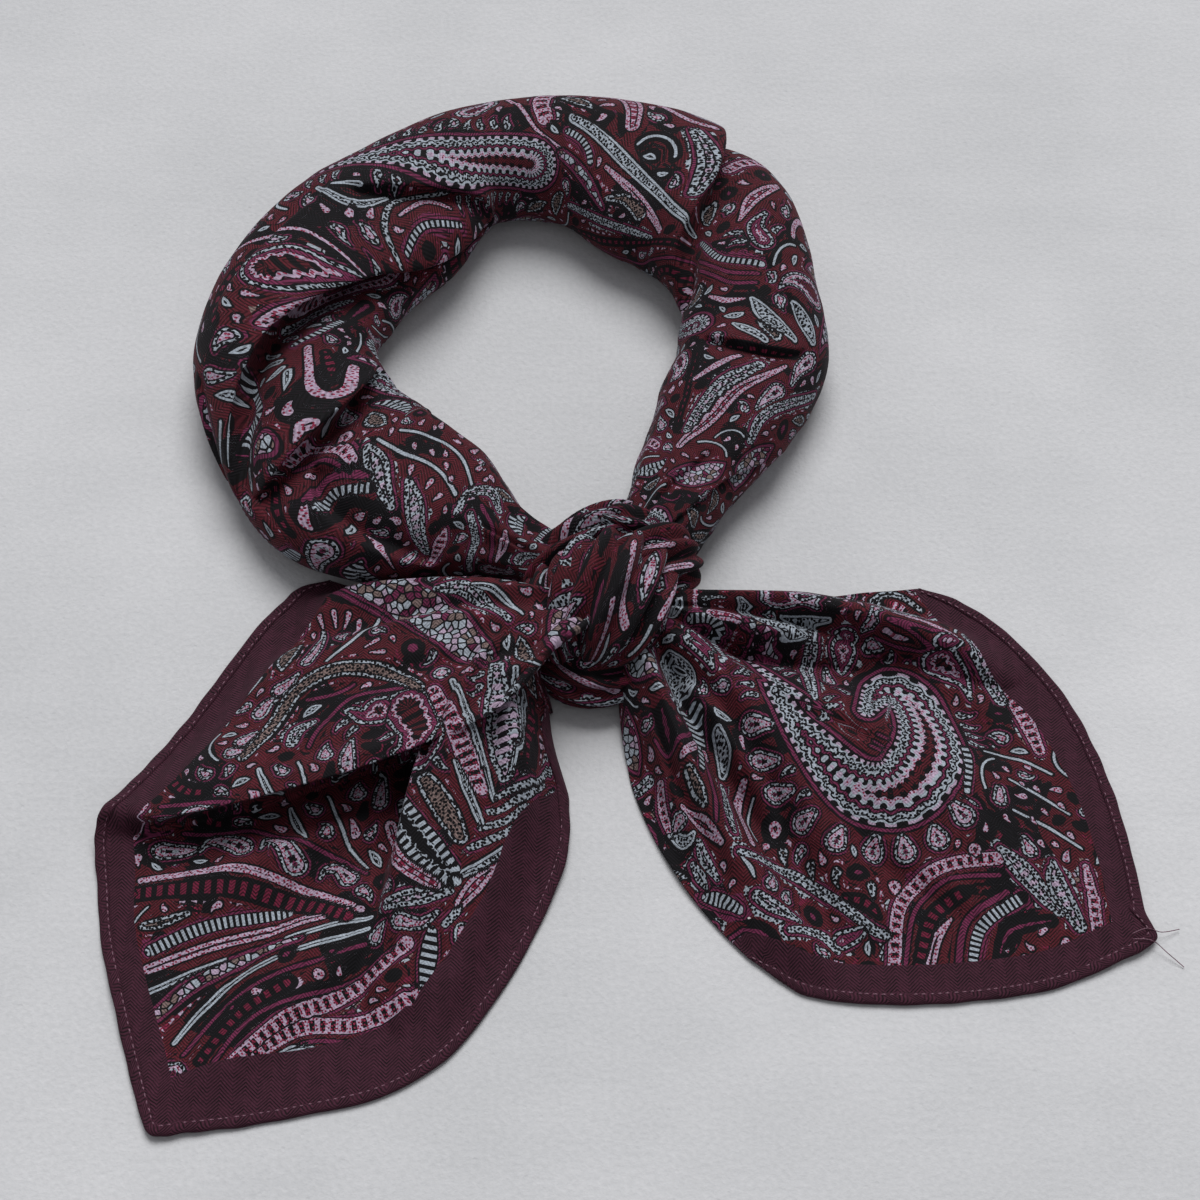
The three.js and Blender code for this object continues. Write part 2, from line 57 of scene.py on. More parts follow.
def metres(points):
    """Millimetre points as Blender's metres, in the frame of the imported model."""
    return (np.asarray(points, float) - KNOT_PLACE_MM) / 1000


scene = bpy.context.scene
knot_on_floor = Vector(metres([0.0, 0.0, 0.0]))
print("the knot's place in metres:", tuple(round(v, 4) for v in knot_on_floor))

# %% [markdown]
# ## Camera
# The photo looks down at the table at a steep angle, from a little under a metre away, so parallel
# edges draw together only slightly. A narrow lens with the camera aimed at the knot's place gives that.
# The angle, the lens and the distance were judged.
# Depth of field stays off.

# %% Camera at the photo's angle
CAMERA_AWAY = 0.802
CAMERA_RISE = math.radians(55)
CAMERA_LENS = math.radians(24)

camera_data = bpy.data.cameras.new("camera")
camera_data.angle = CAMERA_LENS
camera = bpy.data.objects.new("camera", camera_data)
towards = Vector((0, -math.cos(CAMERA_RISE), math.sin(CAMERA_RISE)))
camera.location = knot_on_floor + CAMERA_AWAY * towards
camera.rotation_euler = towards.to_track_quat("Z", "Y").to_euler()
scene.collection.objects.link(camera)
scene.camera = camera
print("camera at", tuple(round(v, 3) for v in camera.location))

# %% [markdown]
# ## Colours and nodes
# Colours are picked as sRGB hex, the way that a paint program shows them, and the shader wants them
# linear, so one function turns them. A second one adds a node with its settings and its links, which
# keeps the long materials below readable, and a third starts a material.

# %% Helpers for materials
def linear(hex_colour):
    """sRGB hex to the linear colour that a shader needs."""
    channels = [int(hex_colour[k:k + 2], 16) / 255 for k in (1, 3, 5)]
    return [c / 12.92 if c <= 0.04045 else ((c + 0.055) / 1.055) ** 2.4 for c in channels] + [1.0]


def add(tree, kind, inputs=None, stops=None, **settings):
    """Adds a node. Inputs go by name or number, or all in order; each is a value, or a node or socket
    to link. Stops are a colour ramp's."""
    node = tree.nodes.new("ShaderNode" + kind)
    for name, value in settings.items():
        setattr(node, name, value)
    if stops:
        ramp = node.color_ramp
        ramp.interpolation = "CONSTANT"
        for place, colour in stops[1:]:
            ramp.elements.new(place).color = colour
        ramp.elements[0].color = stops[0][1]
    if isinstance(inputs, tuple):
        inputs = dict(enumerate(inputs))
    for name, value in (inputs or {}).items():
        if isinstance(value, bpy.types.Node):
            value = next(socket for socket in value.outputs if socket.enabled)
        if isinstance(value, bpy.types.NodeSocket):
            tree.links.new(value, node.inputs[name])
        else:
            node.inputs[name].default_value = value
    return node


def new_material(name):
    """A new material and its node tree, with no nodes in it yet."""
    material = bpy.data.materials.new(name)
    material.use_nodes = True
    material.node_tree.nodes.clear()
    return material, material.node_tree


# %% [markdown]
# ## Table top
# The scarf lies on a pale, smooth plastered surface with a faint cloudy mottle. It is only a stage,
# so it is a flat plane with a quiet material: noises a few shades apart, one as wide as a hand for the
# clouds, one drawn out into trowel strokes and one as small as sand, with a few tiny pits.

# %% Pale table top
FLOOR_SIZE = 8.0
# scales a metre, for clouds of 11 cm, strokes of 7 by 1.7 cm, sand of 1.5 mm and a pit each 4 mm
CLOUDS, STROKES, SAND, PITS = 9.0, (14.0, 60.0, 1.0), 650.0, 260.0

bpy.ops.mesh.primitive_plane_add(size=FLOOR_SIZE)
table_top = bpy.context.object
table_top.name = "table_top"

plaster, tree = new_material("plaster_smoothed")
place = add(tree, "TexCoord").outputs["Object"]
clouds = add(tree, "TexNoise", {"Vector": place, "Scale": CLOUDS, "Detail": 4.0, "Roughness": 0.6})
streaks = add(tree, "Mapping", {"Vector": place, "Rotation": (0, 0, 0.7), "Scale": STROKES})
streaks = add(tree, "TexNoise", {"Vector": streaks, "Scale": 1.0, "Detail": 3.0, "Roughness": 0.65})
sand = add(tree, "TexNoise", {"Vector": place, "Scale": SAND, "Detail": 3.0, "Roughness": 0.6})
mottle = add(tree, "Math", (streaks, 0.28, clouds), operation="MULTIPLY_ADD")
mottle = add(tree, "Math", (sand, 0.7, mottle), operation="MULTIPLY_ADD")
blend = add(tree, "MapRange", {"Value": mottle, 1: 0.72, 2: 1.42})
grey = add(tree, "Mix", {0: blend, 6: linear("#BDBEC0"), 7: linear("#D4D4D6")}, data_type="RGBA")
pits = add(tree, "TexVoronoi", {"Vector": place, "Scale": PITS, "Randomness": 1.0})
pit = add(tree, "MapRange", {"Value": pits.outputs["Distance"], 1: 0.04, 2: 0.16, 3: 0.0, 4: 1.0})
rough = add(tree, "Math", (pit, 0.3, sand), operation="MULTIPLY_ADD")
bump = add(tree, "Bump", {"Height": rough, "Strength": 0.6, "Distance": 0.0004})
shader = add(tree, "BsdfPrincipled", {"Base Color": grey, "Roughness": 0.75, "Normal": bump})
add(tree, "OutputMaterial", {"Surface": shader})
table_top.data.materials.append(plaster)
print("table top", FLOOR_SIZE, "m square")

# %% [markdown]
# ## Light
# Soft daylight comes from behind the scarf, high over the table, so the near sides of the folds
# are dark and the shadows under them are short and soft. A sun lamp with a wide angle does that
# evenly over the whole table, and the world fills the shadows with grey. The Standard view keeps the
# print's colours as picked.

# %% Soft light
LAMP_TOWARDS = Vector((0.1, 0.85, 1.3))
LAMP_ANGLE = math.radians(40)
LAMP_STRENGTH = 2.5
SKY_STRENGTH = 0.35

lamp_data = bpy.data.lights.new("window", "SUN")
lamp_data.angle = LAMP_ANGLE
lamp_data.energy = LAMP_STRENGTH
lamp = bpy.data.objects.new("window", lamp_data)
lamp.location = LAMP_TOWARDS
lamp.rotation_euler = LAMP_TOWARDS.to_track_quat("Z", "Y").to_euler()
scene.collection.objects.link(lamp)
world = bpy.data.worlds.new("daylight")
world.use_nodes = True
world.node_tree.nodes["Background"].inputs["Color"].default_value = linear("#F6F6FA")
world.node_tree.nodes["Background"].inputs["Strength"].default_value = SKY_STRENGTH
scene.world = world
scene.view_settings.view_transform = "Standard"
print("one lamp of", LAMP_STRENGTH, "W a square metre and an even sky of", SKY_STRENGTH)

# %% [markdown]
# ## Tools for cloth surfaces
# Cloth has no straight edges, so its surfaces are read from short tables: a smooth curve passes
# through the rows, and can be asked for a place between two rows. Everything works on whole arrays
# of places at once, because one fold is felt at tens of thousands of points. Soft pleats, unevenness
# and rounded sections are needed again and again, so each has its own small function here.

# %% Smooth curves through table rows
def through(rows, place):
    """Smooth curve through table rows, at row numbers that need not be whole."""
    rows = np.asarray(rows, float)
    last = len(rows) - 1
    place = np.clip(np.asarray(place, float), 0, last)
    index = np.minimum(place.astype(int), last - 1)
    f = (place - index)[..., None]
    a, b = rows[np.maximum(index - 1, 0)], rows[index]
    c, d = rows[index + 1], rows[np.minimum(index + 2, last)]
    return b + 0.5 * f * (c - a + f * (2 * a - 5 * b + 4 * c - d + f * (3 * (b - c) + d - a)))


def parabola(start, via, end, t):
    """Number or point at share t of the parabola through three others."""
    start, via, end = (np.asarray(v, float) for v in (start, via, end))
    return (1 - t) ** 2 * start + 2 * t * (1 - t) * (2 * via - (start + end) / 2) + t**2 * end


def smooth_step(x, low, high):
    """From 0 to 1 between two values, with soft ends."""
    t = np.clip((x - low) / (high - low), 0, 1)
    return t * t * (3 - 2 * t)


LINE_STEPS = 16  # short straight steps of a curved line


def line_through(start, via, end):
    """A curved line from one point to another by way of a third."""
    return parabola(start, via, end, np.linspace(0, 1, LINE_STEPS + 1)[:, None])


def nearest_on(line, places):
    """For each place: distance to a line, bearing (1 square to its left, -1 to its right), share
    along it, and the line's left normal there."""
    best = np.full(places.shape[:-1], np.inf)
    bearing, along = np.zeros_like(best), np.zeros_like(best)
    normal = np.zeros_like(places)
    for k in range(len(line) - 1):
        step = line[k + 1] - line[k]
        length = np.hypot(*step)
        f = np.clip((places - line[k]) @ step / length**2, 0, 1)
        off = places - line[k] - f[..., None] * step
        distance = np.hypot(off[..., 0], off[..., 1])
        nearer = distance < best
        turn = (step[0] * off[..., 1] - step[1] * off[..., 0]) / np.maximum(length * distance, 1e-9)
        best = np.where(nearer, distance, best)
        bearing = np.where(nearer, turn, bearing)
        along = np.where(nearer, (k + f) / (len(line) - 1), along)
        normal = np.where(nearer[..., None], np.array([-step[1], step[0]]) / length, normal)
    return best, bearing, along, normal


print("a curve through 1, 3, 2 passes", round(float(through([[1], [3], [2]], 0.5)[0]), 3), "half-way")

# %% Ripples, pleats and rounded sections
RIPPLE_WAVES = 9


def ripples(u, v, seed, around=None):
    """Soft unevenness: a few crossing waves. Whole wave numbers round a roll close on themselves."""
    random = np.random.default_rng(seed)
    total = np.zeros(np.broadcast(u, v).shape)
    for _ in range(RIPPLE_WAVES):
        along_u, phase = random.uniform(-1, 1), random.uniform(0, 2 * np.pi)
        along_v = random.integers(1, around + 1) if around else random.uniform(-1, 1)
        total += np.sin(2 * np.pi * along_u * u + (1 if around else 2 * np.pi) * along_v * v + phase)
    return total / math.sqrt(RIPPLE_WAVES)


def pleats_round(turn, groove, power):
    """Soft pleats, one each half turn: 1 on the crests and this much lower in the grooves."""
    return 1 - groove * np.abs(np.cos(turn)) ** power


def squared(wave, power):
    """A sine or cosine made squarer, for a rounded section: the lower the power, the squarer."""
    return np.sign(wave) * np.abs(wave) ** power


def sides_round(count):
    """Angles at an even pitch round a section."""
    return np.linspace(0, 2 * np.pi, count, endpoint=False)


def unit(vectors):
    """The same directions at a length of 1."""
    return vectors / np.maximum(np.linalg.norm(vectors, axis=-1, keepdims=True), 1e-9)


def run_along(line):
    """How far along a line each of its points lies."""
    return np.concatenate([[0], np.cumsum(np.linalg.norm(np.diff(line, axis=0), axis=-1))])


def lying_on(points, height=0.0):
    """Points of which none is lower than this over the table."""
    points[..., 2] = np.maximum(points[..., 2], height)
    return points


print("ripples of seed 1 at one place:", round(float(ripples(0.3, 0.6, 1)), 3))

# %% [markdown]
# ## From points to pieces
# Every piece here is a grid of points. A roll closes round its section and is capped at both ends,
# and a sheet gets a second layer of points under the first and a rim that joins the two, because
# real cloth has a thickness. Values that the shader needs ride on the points as named attributes.

# %% Meshes from grids
def grid_quads(index):
    """Quads between neighbours of a grid of point numbers."""
    corners = (index[:-1, :-1], index[1:, :-1], index[1:, 1:], index[:-1, 1:])
    return np.stack(corners, -1).reshape(-1, 4)


def grid_normals(points, closed=False):
    """Normals of a grid, from its neighbours both ways."""
    around = np.concatenate([points[:, -1:], points, points[:, :1]], 1) if closed else None
    across = np.gradient(points, axis=0)
    along = (around[:, 2:] - around[:, :-2]) / 2 if closed else np.gradient(points, axis=1)
    return unit(np.cross(across, along))


def make_piece(name, points, faces, marks=None, chart=None):
    """Object of millimetre points and faces, with values on its points and a map of its surface."""
    mesh = bpy.data.meshes.new(name)
    mesh.from_pydata(metres(points).tolist(), [], [list(face) for face in faces])
    mesh.polygons.foreach_set("use_smooth", np.ones(len(mesh.polygons), bool))
    for key, values in (marks or {}).items():
        attribute = mesh.attributes.new(key, "FLOAT_VECTOR", "POINT")
        attribute.data.foreach_set("vector", np.asarray(values, np.float32).ravel())
    if chart is not None:
        corner = np.empty(len(mesh.loops), np.int32)
        mesh.loops.foreach_get("vertex_index", corner)
        layer = mesh.uv_layers.new(name="OFBake")
        layer.data.foreach_set("uv", np.asarray(chart, np.float32)[corner].ravel())
    mesh.update()
    piece = bpy.data.objects.new(name, mesh)
    scene.collection.objects.link(piece)
    print(f"{name}: {len(points)} points, {len(faces)} faces")
    return piece


def make_roll(name, rings, marks=None):
    """Closed roll over a grid of rings, capped at its ends."""
    count, sides = rings.shape[:2]
    index = np.arange(count * sides).reshape(count, sides)
    looped = np.concatenate([index, index[:, :1]], 1)
    faces = grid_quads(looped)[:, ::-1].tolist()
    ends = [rings[0].mean(0), rings[-1].mean(0)]
    for ring, middle, turn in ((looped[0], count * sides, 1), (looped[-1], count * sides + 1, -1)):
        faces += [[a, b, middle][::turn] for a, b in zip(ring[:-1].tolist(), ring[1:].tolist())]
    points = np.concatenate([rings.reshape(-1, 3), ends])
    if (grid_normals(rings, True) * (rings - rings.mean(1)[:, None])).sum() < 0:
        faces = [face[::-1] for face in faces]
    marks = {key: np.concatenate([values.reshape(-1, 3), values[0, :1], values[-1, :1]])
             for key, values in (marks or {}).items()}
    return make_piece(name, points, faces, marks)


TOP_SHARE = 0.9  # of the map is given to the side that shows
MAP_MARGIN = 0.01  # left free along the map's sides
UNDER_STEP = 3  # the hidden side has one point for this many on the top


def make_sheet(name, top, bottom, marks):
    """Closed sheet between two grids, indexed [column][row]; the bottom grid is coarser."""
    index = np.arange(top[..., 0].size).reshape(top.shape[:2])
    under = np.arange(bottom[..., 0].size).reshape(bottom.shape[:2]) + index.size

    def round_rim(grid):
        """The point numbers along a grid's four sides, once round."""
        return np.concatenate([grid[:, 0], grid[-1, 1:], grid[-2::-1, -1], grid[0, -2:0:-1]])

    rim, low_rim = round_rim(index), round_rim(under)
    rim, low_rim = np.append(rim, rim[0]).tolist(), np.append(low_rim, low_rim[0]).tolist()
    faces = grid_quads(index)[:, ::-1].tolist() + grid_quads(under).tolist()
    for k in range(len(low_rim) - 1):
        faces.append(rim[k * UNDER_STEP:(k + 1) * UNDER_STEP + 1] + [low_rim[k + 1], low_rim[k]])
    if grid_normals(top)[..., 2].mean() > 0:
        faces = [face[::-1] for face in faces]
    charts = []
    for grid, low, high in ((top, MAP_MARGIN, TOP_SHARE - MAP_MARGIN), (bottom, TOP_SHARE, 1 - MAP_MARGIN)):
        u, v = np.meshgrid(np.linspace(MAP_MARGIN, 1 - MAP_MARGIN, grid.shape[0]),
                           np.linspace(low, high, grid.shape[1]), indexing="ij")
        charts.append(np.stack([u, v], -1).reshape(-1, 2))
    both = {key: np.concatenate([values.reshape(-1, 3),
                                 values[::UNDER_STEP, ::UNDER_STEP].reshape(-1, 3)])
            for key, values in marks.items()}
    points = np.concatenate([top.reshape(-1, 3), bottom.reshape(-1, 3)])
    return make_piece(name, points, faces, both, np.concatenate(charts))


print("a sheet's hidden side has one point for", UNDER_STEP**2, "on its top")

# %% [markdown]
# ## Neck band: the rolled part of the square
# Rolled from its corner, the square makes a soft tube that goes round the neck: wide and low where it
# lies free, and thin where it is drawn into the knot. A row for each station gives its middle, width,
# height and how far its underside is off the table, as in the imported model.

# %% Stations of the neck band
# middle x and y, width across, height, foot
BAND_STATIONS = [
    (-8, -1, 15, 15, 5), (-25.5, 10.5, 21, 20, 2), (-44.8, 21.5, 48, 25, 0), (-69.3, 33.7, 63, 26, 0),
    (-86.4, 57.5, 55.5, 26, 0), (-93, 84, 54, 27, 0), (-83.5, 111, 56, 28, 0), (-64, 133.5, 56, 28.5, 0),
    (-41, 155, 40, 29, 0), (-12, 159, 43, 30, 0), (14, 149.5, 56, 29, 0), (35, 131.5, 52, 28, 0),
    (44.5, 106, 42, 27, 0), (45.2, 80.5, 45, 26, 0), (36.6, 58, 41, 25.5, 0), (26, 37, 31, 24.5, 0),
    (18.5, 19, 24, 22, 2), (9, 2, 15, 15, 5)]
BAND_SQUARENESS = 2.25  # 2 would be an ellipse
BAND_WAIST = 0.42  # widest at this share of the height
BAND_SETTLE = 2.5  # how far the round underside is pressed flat
STATION_MM = 28.0  # between stations, along the roll
RADIAN_MM = 22.0  # round the roll
NEARBY = 0.05  # of a table row, either side of a place, to find its direction


def band_base(station, angle):
    """The plain roll without its folds: points, and the way out of its skin in plan."""
    x, y, width, height, foot = np.moveaxis(through(BAND_STATIONS, station), -1, 0)
    ahead = through(BAND_STATIONS, station + NEARBY) - through(BAND_STATIONS, station - NEARBY)
    ahead = unit(ahead[..., :2])
    c, s = np.cos(angle), np.sin(angle)
    power = 2 / BAND_SQUARENESS
    waist = BAND_WAIST * height
    across = width / 2 * squared(c, power)
    rise = np.where(s > 0, height - waist, waist + BAND_SETTLE) * squared(s, power)
    outward = np.stack([-ahead[..., 1], ahead[..., 0]], -1)
    points = np.stack([x + outward[..., 0] * across, y + outward[..., 1] * across,
                       foot + waist + rise], -1)
    return points, np.concatenate([outward * c[..., None], s[..., None]], -1)


print(len(BAND_STATIONS), "stations along the neck band")

# %% [markdown]
# ## Laps of the roll
# The roll is several layers of cloth, and where one layer ends, its edge lies over the next with a
# dark groove under it. Such an edge is a line on the unrolled skin: on one side the skin is pushed
# out into a lip, on the other it is drawn in, and the lip is slid sideways so that it overhangs.
# Pushing the points of the grid is quicker than a simulation, and puts each edge where the photo has it.

# %% Where the laps are, and the pleats at the knot
# station and degrees round the roll where a lap starts, passes and ends; then the lip, the groove, how
# far they reach, how far the lip overhangs, and 1 where the left of the line lies on top, -1 its right
BAND_LAPS = [
    ((7.9, 178), (5.3, 90), (3.5, 0), 3.6, 12.0, 12, 8.5, 1),
    ((4.2, 150), (3.6, 90), (3.4, 15), 3.0, 9.5, 10, 6.0, 1),
    ((3.3, 72), (2.8, 44), (1.6, 15), 2.2, 6.5, 9, 3.0, 1),
    ((6.7, 76), (7.3, 108), (7.8, 165), 1.8, 4.5, 7, 2.5, -1),
    ((10.0, -30), (10.85, 92), (12.2, 185), 1.6, 7.5, 9, 3.0, 1),
    ((13.1, 45), (13.3, 86), (13.3, 125), 1.2, 2.8, 5, 1.4, 1)]
# shallow drag lines, as the laps but without an overhang
BAND_DRAGS = [
    ((14.1, -5), (15.3, 38), (16.6, 70), 0.9, 1.6, 4, 0.4, 1),
    ((14.9, 70), (15.7, 90), (16.6, 110), 0.7, 1.2, 4, 0.3, 1),
    ((2.1, 90), (1.3, 72), (0.6, 60), 0.9, 1.5, 4, 0.4, 1),
    ((2.5, 140), (1.6, 120), (0.7, 100), 0.7, 1.2, 4, 0.3, 1),
    ((8.4, 60), (9.3, 88), (10.3, 100), 0.5, 0.9, 5, 0.3, 1),
    ((11.9, 80), (12.6, 62), (13.2, 30), 0.5, 1.0, 5, 0.3, -1),
    ((5.0, 40), (5.9, 62), (6.8, 60), 0.5, 0.9, 6, 0.3, 1),
    ((4.6, 25), (4.2, 8), (3.6, -20), 0.7, 1.3, 5, 0.3, 1)]
LAP_SHARPNESS = 12.0
# station, how far it reaches, pleats, their depth
BAND_PLEATS = [(0, 2.6, 7, 1.3), (17, 4.2, 8, 1.3)]
# unevenness: depth, how often along the roll, seed, most waves round it
BAND_RIPPLES = [(0.28, 0.9, 11, 5), (0.10, 3.2, 12, 9)]


def band_relief(station, angle):
    """How far the laps push the skin out, and how far they slide it along and round the roll."""
    push = np.zeros(np.broadcast(station, angle).shape)
    slide = np.zeros(push.shape + (2,))
    places = np.stack(np.broadcast_arrays(station * STATION_MM, angle * RADIAN_MM), -1)
    for *ends, lip, groove, reach, overhang, side in BAND_LAPS + BAND_DRAGS:
        line = line_through(*[(s * STATION_MM, math.radians(deg) * RADIAN_MM) for s, deg in ends])
        distance, bearing, along, normal = nearest_on(line, places)
        fade = np.sqrt(np.maximum(np.sin(np.pi * along), 0))
        across = distance * np.sign(bearing) * side / reach
        step = np.tanh(across * LAP_SHARPNESS)
        push += fade * np.where(across > 0, lip, groove) * step * np.exp(-across**2)
        over = fade * overhang * (0.5 + 0.5 * step) * np.exp(-((across * 2) ** 2))
        slide -= (over * side)[..., None] * normal
    for end, reach, count, depth in BAND_PLEATS:
        fade = np.clip(1 - np.abs(station - end) / reach, 0, 1)
        push += depth * fade * pleats_round(count / 2 * angle + end, 1.6, 1.5)
    return push, slide


def band_skin(station, angle):
    """The roll with its laps, pleats and unevenness."""
    push, slide = band_relief(station, angle)
    for depth, often, seed, around in BAND_RIPPLES:
        push = push + depth * ripples(station * often, angle, seed, around)
    base, outward = band_base(station + slide[..., 0] / STATION_MM, angle + slide[..., 1] / RADIAN_MM)
    return lying_on(base + outward * push[..., None])


BAND_RINGS, BAND_SIDES = 520, 168
stations, angles = np.meshgrid(
    np.linspace(0, len(BAND_STATIONS) - 1, BAND_RINGS),
    sides_round(BAND_SIDES) - np.pi / 2, indexing="ij")
band_points = band_skin(stations, angles)
print("neck band reaches", np.round(np.ptp(band_points.reshape(-1, 3), axis=0), 1), "mm")

# %% [markdown]
# ## The two corner ends
# Past the knot the two corners of the square fan out and lie down. Seen along its threads, each end
# starts gathered in the knot's mouth, swells into a few soft ridges and comes down to the sewn edge.
# A row for each of some threads gives its tip, its sideways bow, where it starts along the mouth, how
# far its tip is lifted, and how wide the plain border is there. Folds are ridges with a line in plan.

# %% Threads and folds of the corner ends
LEFT_END = dict(
    mouth=((-8, -6), (-8, -29)),
    # tip x and y, bow, start, lift, plain border
    threads=[
        (-79, 6.8, 4, 0, 0, 12), (-85.5, 4, 4, 0.03, 0, 13), (-90, -1.5, 4, 0.06, 0, 14),
        (-96.5, -10, 4, 0.16, 0, 14), (-105.5, -26, 4, 0.28, 0, 15), (-114, -41.5, 4, 0.4, 0, 15),
        (-122.5, -56, 4.5, 0.5, 1.5, 14), (-129.5, -67, 5, 0.58, 4, 12), (-133.5, -73.5, 5, 0.63, 6, 10.5),
        (-135, -80, 5, 0.67, 2, 10), (-133.4, -92, 3.5, 0.69, 0, 10), (-130.7, -109, 0, 0.71, 0, 9.5),
        (-126, -126, -4, 0.73, 1, 9.5), (-120.3, -145, -8, 0.75, 0, 10),
        (-115.3, -160, -11, 0.765, 0.6, 10), (-112, -164.8, -12, 0.78, 1, 13),
        (-104, -164, -12, 0.79, 0.6, 16), (-90, -162, -13, 0.81, 0, 18), (-72, -158.5, -13, 0.835, 0, 18),
        (-54, -153.5, -11, 0.86, 0, 18), (-39, -143.5, -11, 0.885, 0, 17), (-27.5, -128, -11, 0.91, 0, 17),
        (-17, -108, -11, 0.93, 0, 16), (-9, -86, -9, 0.95, 1, 15), (-8.3, -69, -7, 0.97, 0.5, 4),
        (-11, -55, -3.5, 0.985, 0, 0), (-13, -44.5, 0, 1, 0, 0)],
    # line in plan, its heights, how far it falls away left and right, how far it leans to the left
    folds=[
        ((-12, -10), (-48, -6), (-88, -3), (20, 18, 3), 24, 7, 0),
        ((-14, -18), (-58, -28), (-112, -46), (19, 17, 2), 26, 26, 0),
        ((-12, -21), (-64, -52.5), (-134, -73.5), (23, 20, 8), 6, 32, 17),
        ((-9, -30), (-32, -66), (-46, -116), (20, 20, 5), 28, 17, -14),
        ((-64, -70), (-95, -90), (-128, -108), (2, 4, 1.5), 15, 15, 0),
        ((-60, -100), (-84, -128), (-106, -156), (3, 3.5, 1.5), 14, 14, 0),
        ((-14, -50), (-18, -74), (-13, -92), (14, 9, 2), 12, 12, 0)],
    # finer creases: line in plan, depth, reach
    creases=[
        ((-12, -14), (-40, -16), (-74, -20), 1.8, 4.5), ((-13, -20), (-40, -28), (-76, -40), 1.6, 4.5),
        ((-12, -8), (-30, -3), (-52, 3), 1.4, 4), ((-44, -40), (-72, -50), (-98, -60), 0.9, 5),
        ((-12, -30), (-26, -52), (-36, -84), 3.0, 4.5), ((-11, -34), (-17, -54), (-22, -84), 2.6, 4),
        ((-30, -46), (-44, -66), (-58, -98), 1.3, 5), ((-52, -62), (-80, -80), (-118, -92), 0.9, 6),
        ((-46, -88), (-66, -112), (-92, -138), 0.9, 6), ((-30, -92), (-36, -118), (-48, -138), 0.8, 6),
        ((-70, -20), (-86, -22), (-100, -28), 0.6, 5)])
RIGHT_END = dict(
    mouth=((13, -3), (5, -26)),
    threads=[
        (93.5, 3.4, -1, 0, 0, 3), (102, -1.2, -2, 0.12, 0, 8), (112, -9.3, -4, 0.21, 0, 13),
        (121.3, -21, -3.5, 0.28, 0, 14), (129.2, -34, -3, 0.36, 0, 12), (135.4, -50.2, -1, 0.43, 0, 11),
        (139.6, -67.5, 1, 0.49, 0, 10), (142.3, -86, 2, 0.54, 0, 9.5), (143.5, -101, 3, 0.58, 0.5, 9.5),
        (145.5, -109.5, 3, 0.6, 1, 10), (136, -115.5, 3, 0.63, 0.5, 10.5), (119, -123, 2, 0.67, 0, 10.5),
        (101, -126.5, 0, 0.71, 0, 11), (83, -128, -2, 0.75, 0, 11), (65.5, -127.6, -5, 0.81, 0, 11),
        (52.3, -125, -7.5, 0.88, 0, 10), (42.5, -118.5, -11, 1, 0, 8)],
    folds=[
        ((20, -5), (64, -8), (112, -22), (18, 17, 4), 8, 9, -5),
        ((18, -12), (44, -17), (68, -18), (18, 15, 6), 12, 8, -2),
        ((36, -40), (80, -58), (122, -94), (12, 12, 2), 26, 36, 0),
        ((18, -21), (46, -54), (68, -102), (17, 13, 3), 16, 9, 0),
        ((12, -28), (26, -66), (54, -117), (18, 12.5, 4), 10, 14, 0)],
    creases=[
        ((18, -8), (40, -12), (70, -13), 1.5, 4), ((18, -3), (44, -2), (80, -4), 1.2, 4),
        ((14, -24), (30, -50), (46, -78), 3.0, 4.5), ((12, -30), (20, -60), (38, -98), 2.4, 4),
        ((26, -26), (50, -42), (78, -54), 1.0, 5), ((10, -30), (13, -54), (24, -84), 1.6, 3.5),
        ((62, -76), (84, -92), (104, -108), 0.8, 6), ((84, -24), (104, -40), (116, -58), 0.7, 6)])
REST_MM = 1.2  # top of a single layer on the table
TUCKED_SHARE = 0.25  # of the cloth's height is left where a side edge is folded under
RIM_SLOPE_MM = 20.0  # the cloth comes down to the hem over this
FOLD_ROUNDNESS = 1.6
LEANING_ROUNDNESS = 0.8  # the side that a fold leans to is round like a roll
GATHERS = 7  # across a mouth
GATHER_DEPTH_MM = 1.5
GATHER_REACH_MM = 24.0
# unevenness: depth, how often across the threads and along them, seed
END_RIPPLES = [(0.35, 0.35, 1.6, 21), (0.14, 1, 5, 22)]


def threads_across(end, count):
    """Thread numbers at an even pitch, from an end's first thread to its last."""
    return np.linspace(0, len(end["threads"]) - 1, count)


def folds_over(end, places):
    """Height of an end's folds over places in plan, and how far they lean."""
    total = np.zeros(places.shape[:-1])
    lean = np.zeros_like(places)
    for start, via, stop, heights, left, right, slant in end["folds"]:
        distance, bearing, along, normal = nearest_on(line_through(start, via, stop), places)
        height = np.maximum(parabola(*heights, along), 0)
        reach = right + (left - right) * (bearing + 1) / 2
        power = np.where(bearing * slant > 0, LEANING_ROUNDNESS, FOLD_ROUNDNESS)
        drop = np.cos(np.pi / 2 * np.minimum(distance / reach, 1)) ** power
        total += (height * drop) ** 4
        lean += (slant * height * drop**2 / max(heights))[..., None] * normal
    return total**0.25, lean


def creases_over(end, places):
    """Narrow soft ridges with a groove beside them, which fade out at both ends."""
    total = np.zeros(places.shape[:-1])
    for start, via, stop, depth, reach in end["creases"]:
        distance, bearing, along, _ = nearest_on(line_through(start, via, stop), places)
        across = distance * np.sign(bearing) / reach
        fade = np.maximum(np.sin(np.pi * along), 0) ** 0.7
        ridge, groove = np.exp(-((across - 0.5) * 2) ** 2), np.exp(-((across + 0.4) * 2.6) ** 2)
        total += depth * fade * (ridge - groove)
    return total


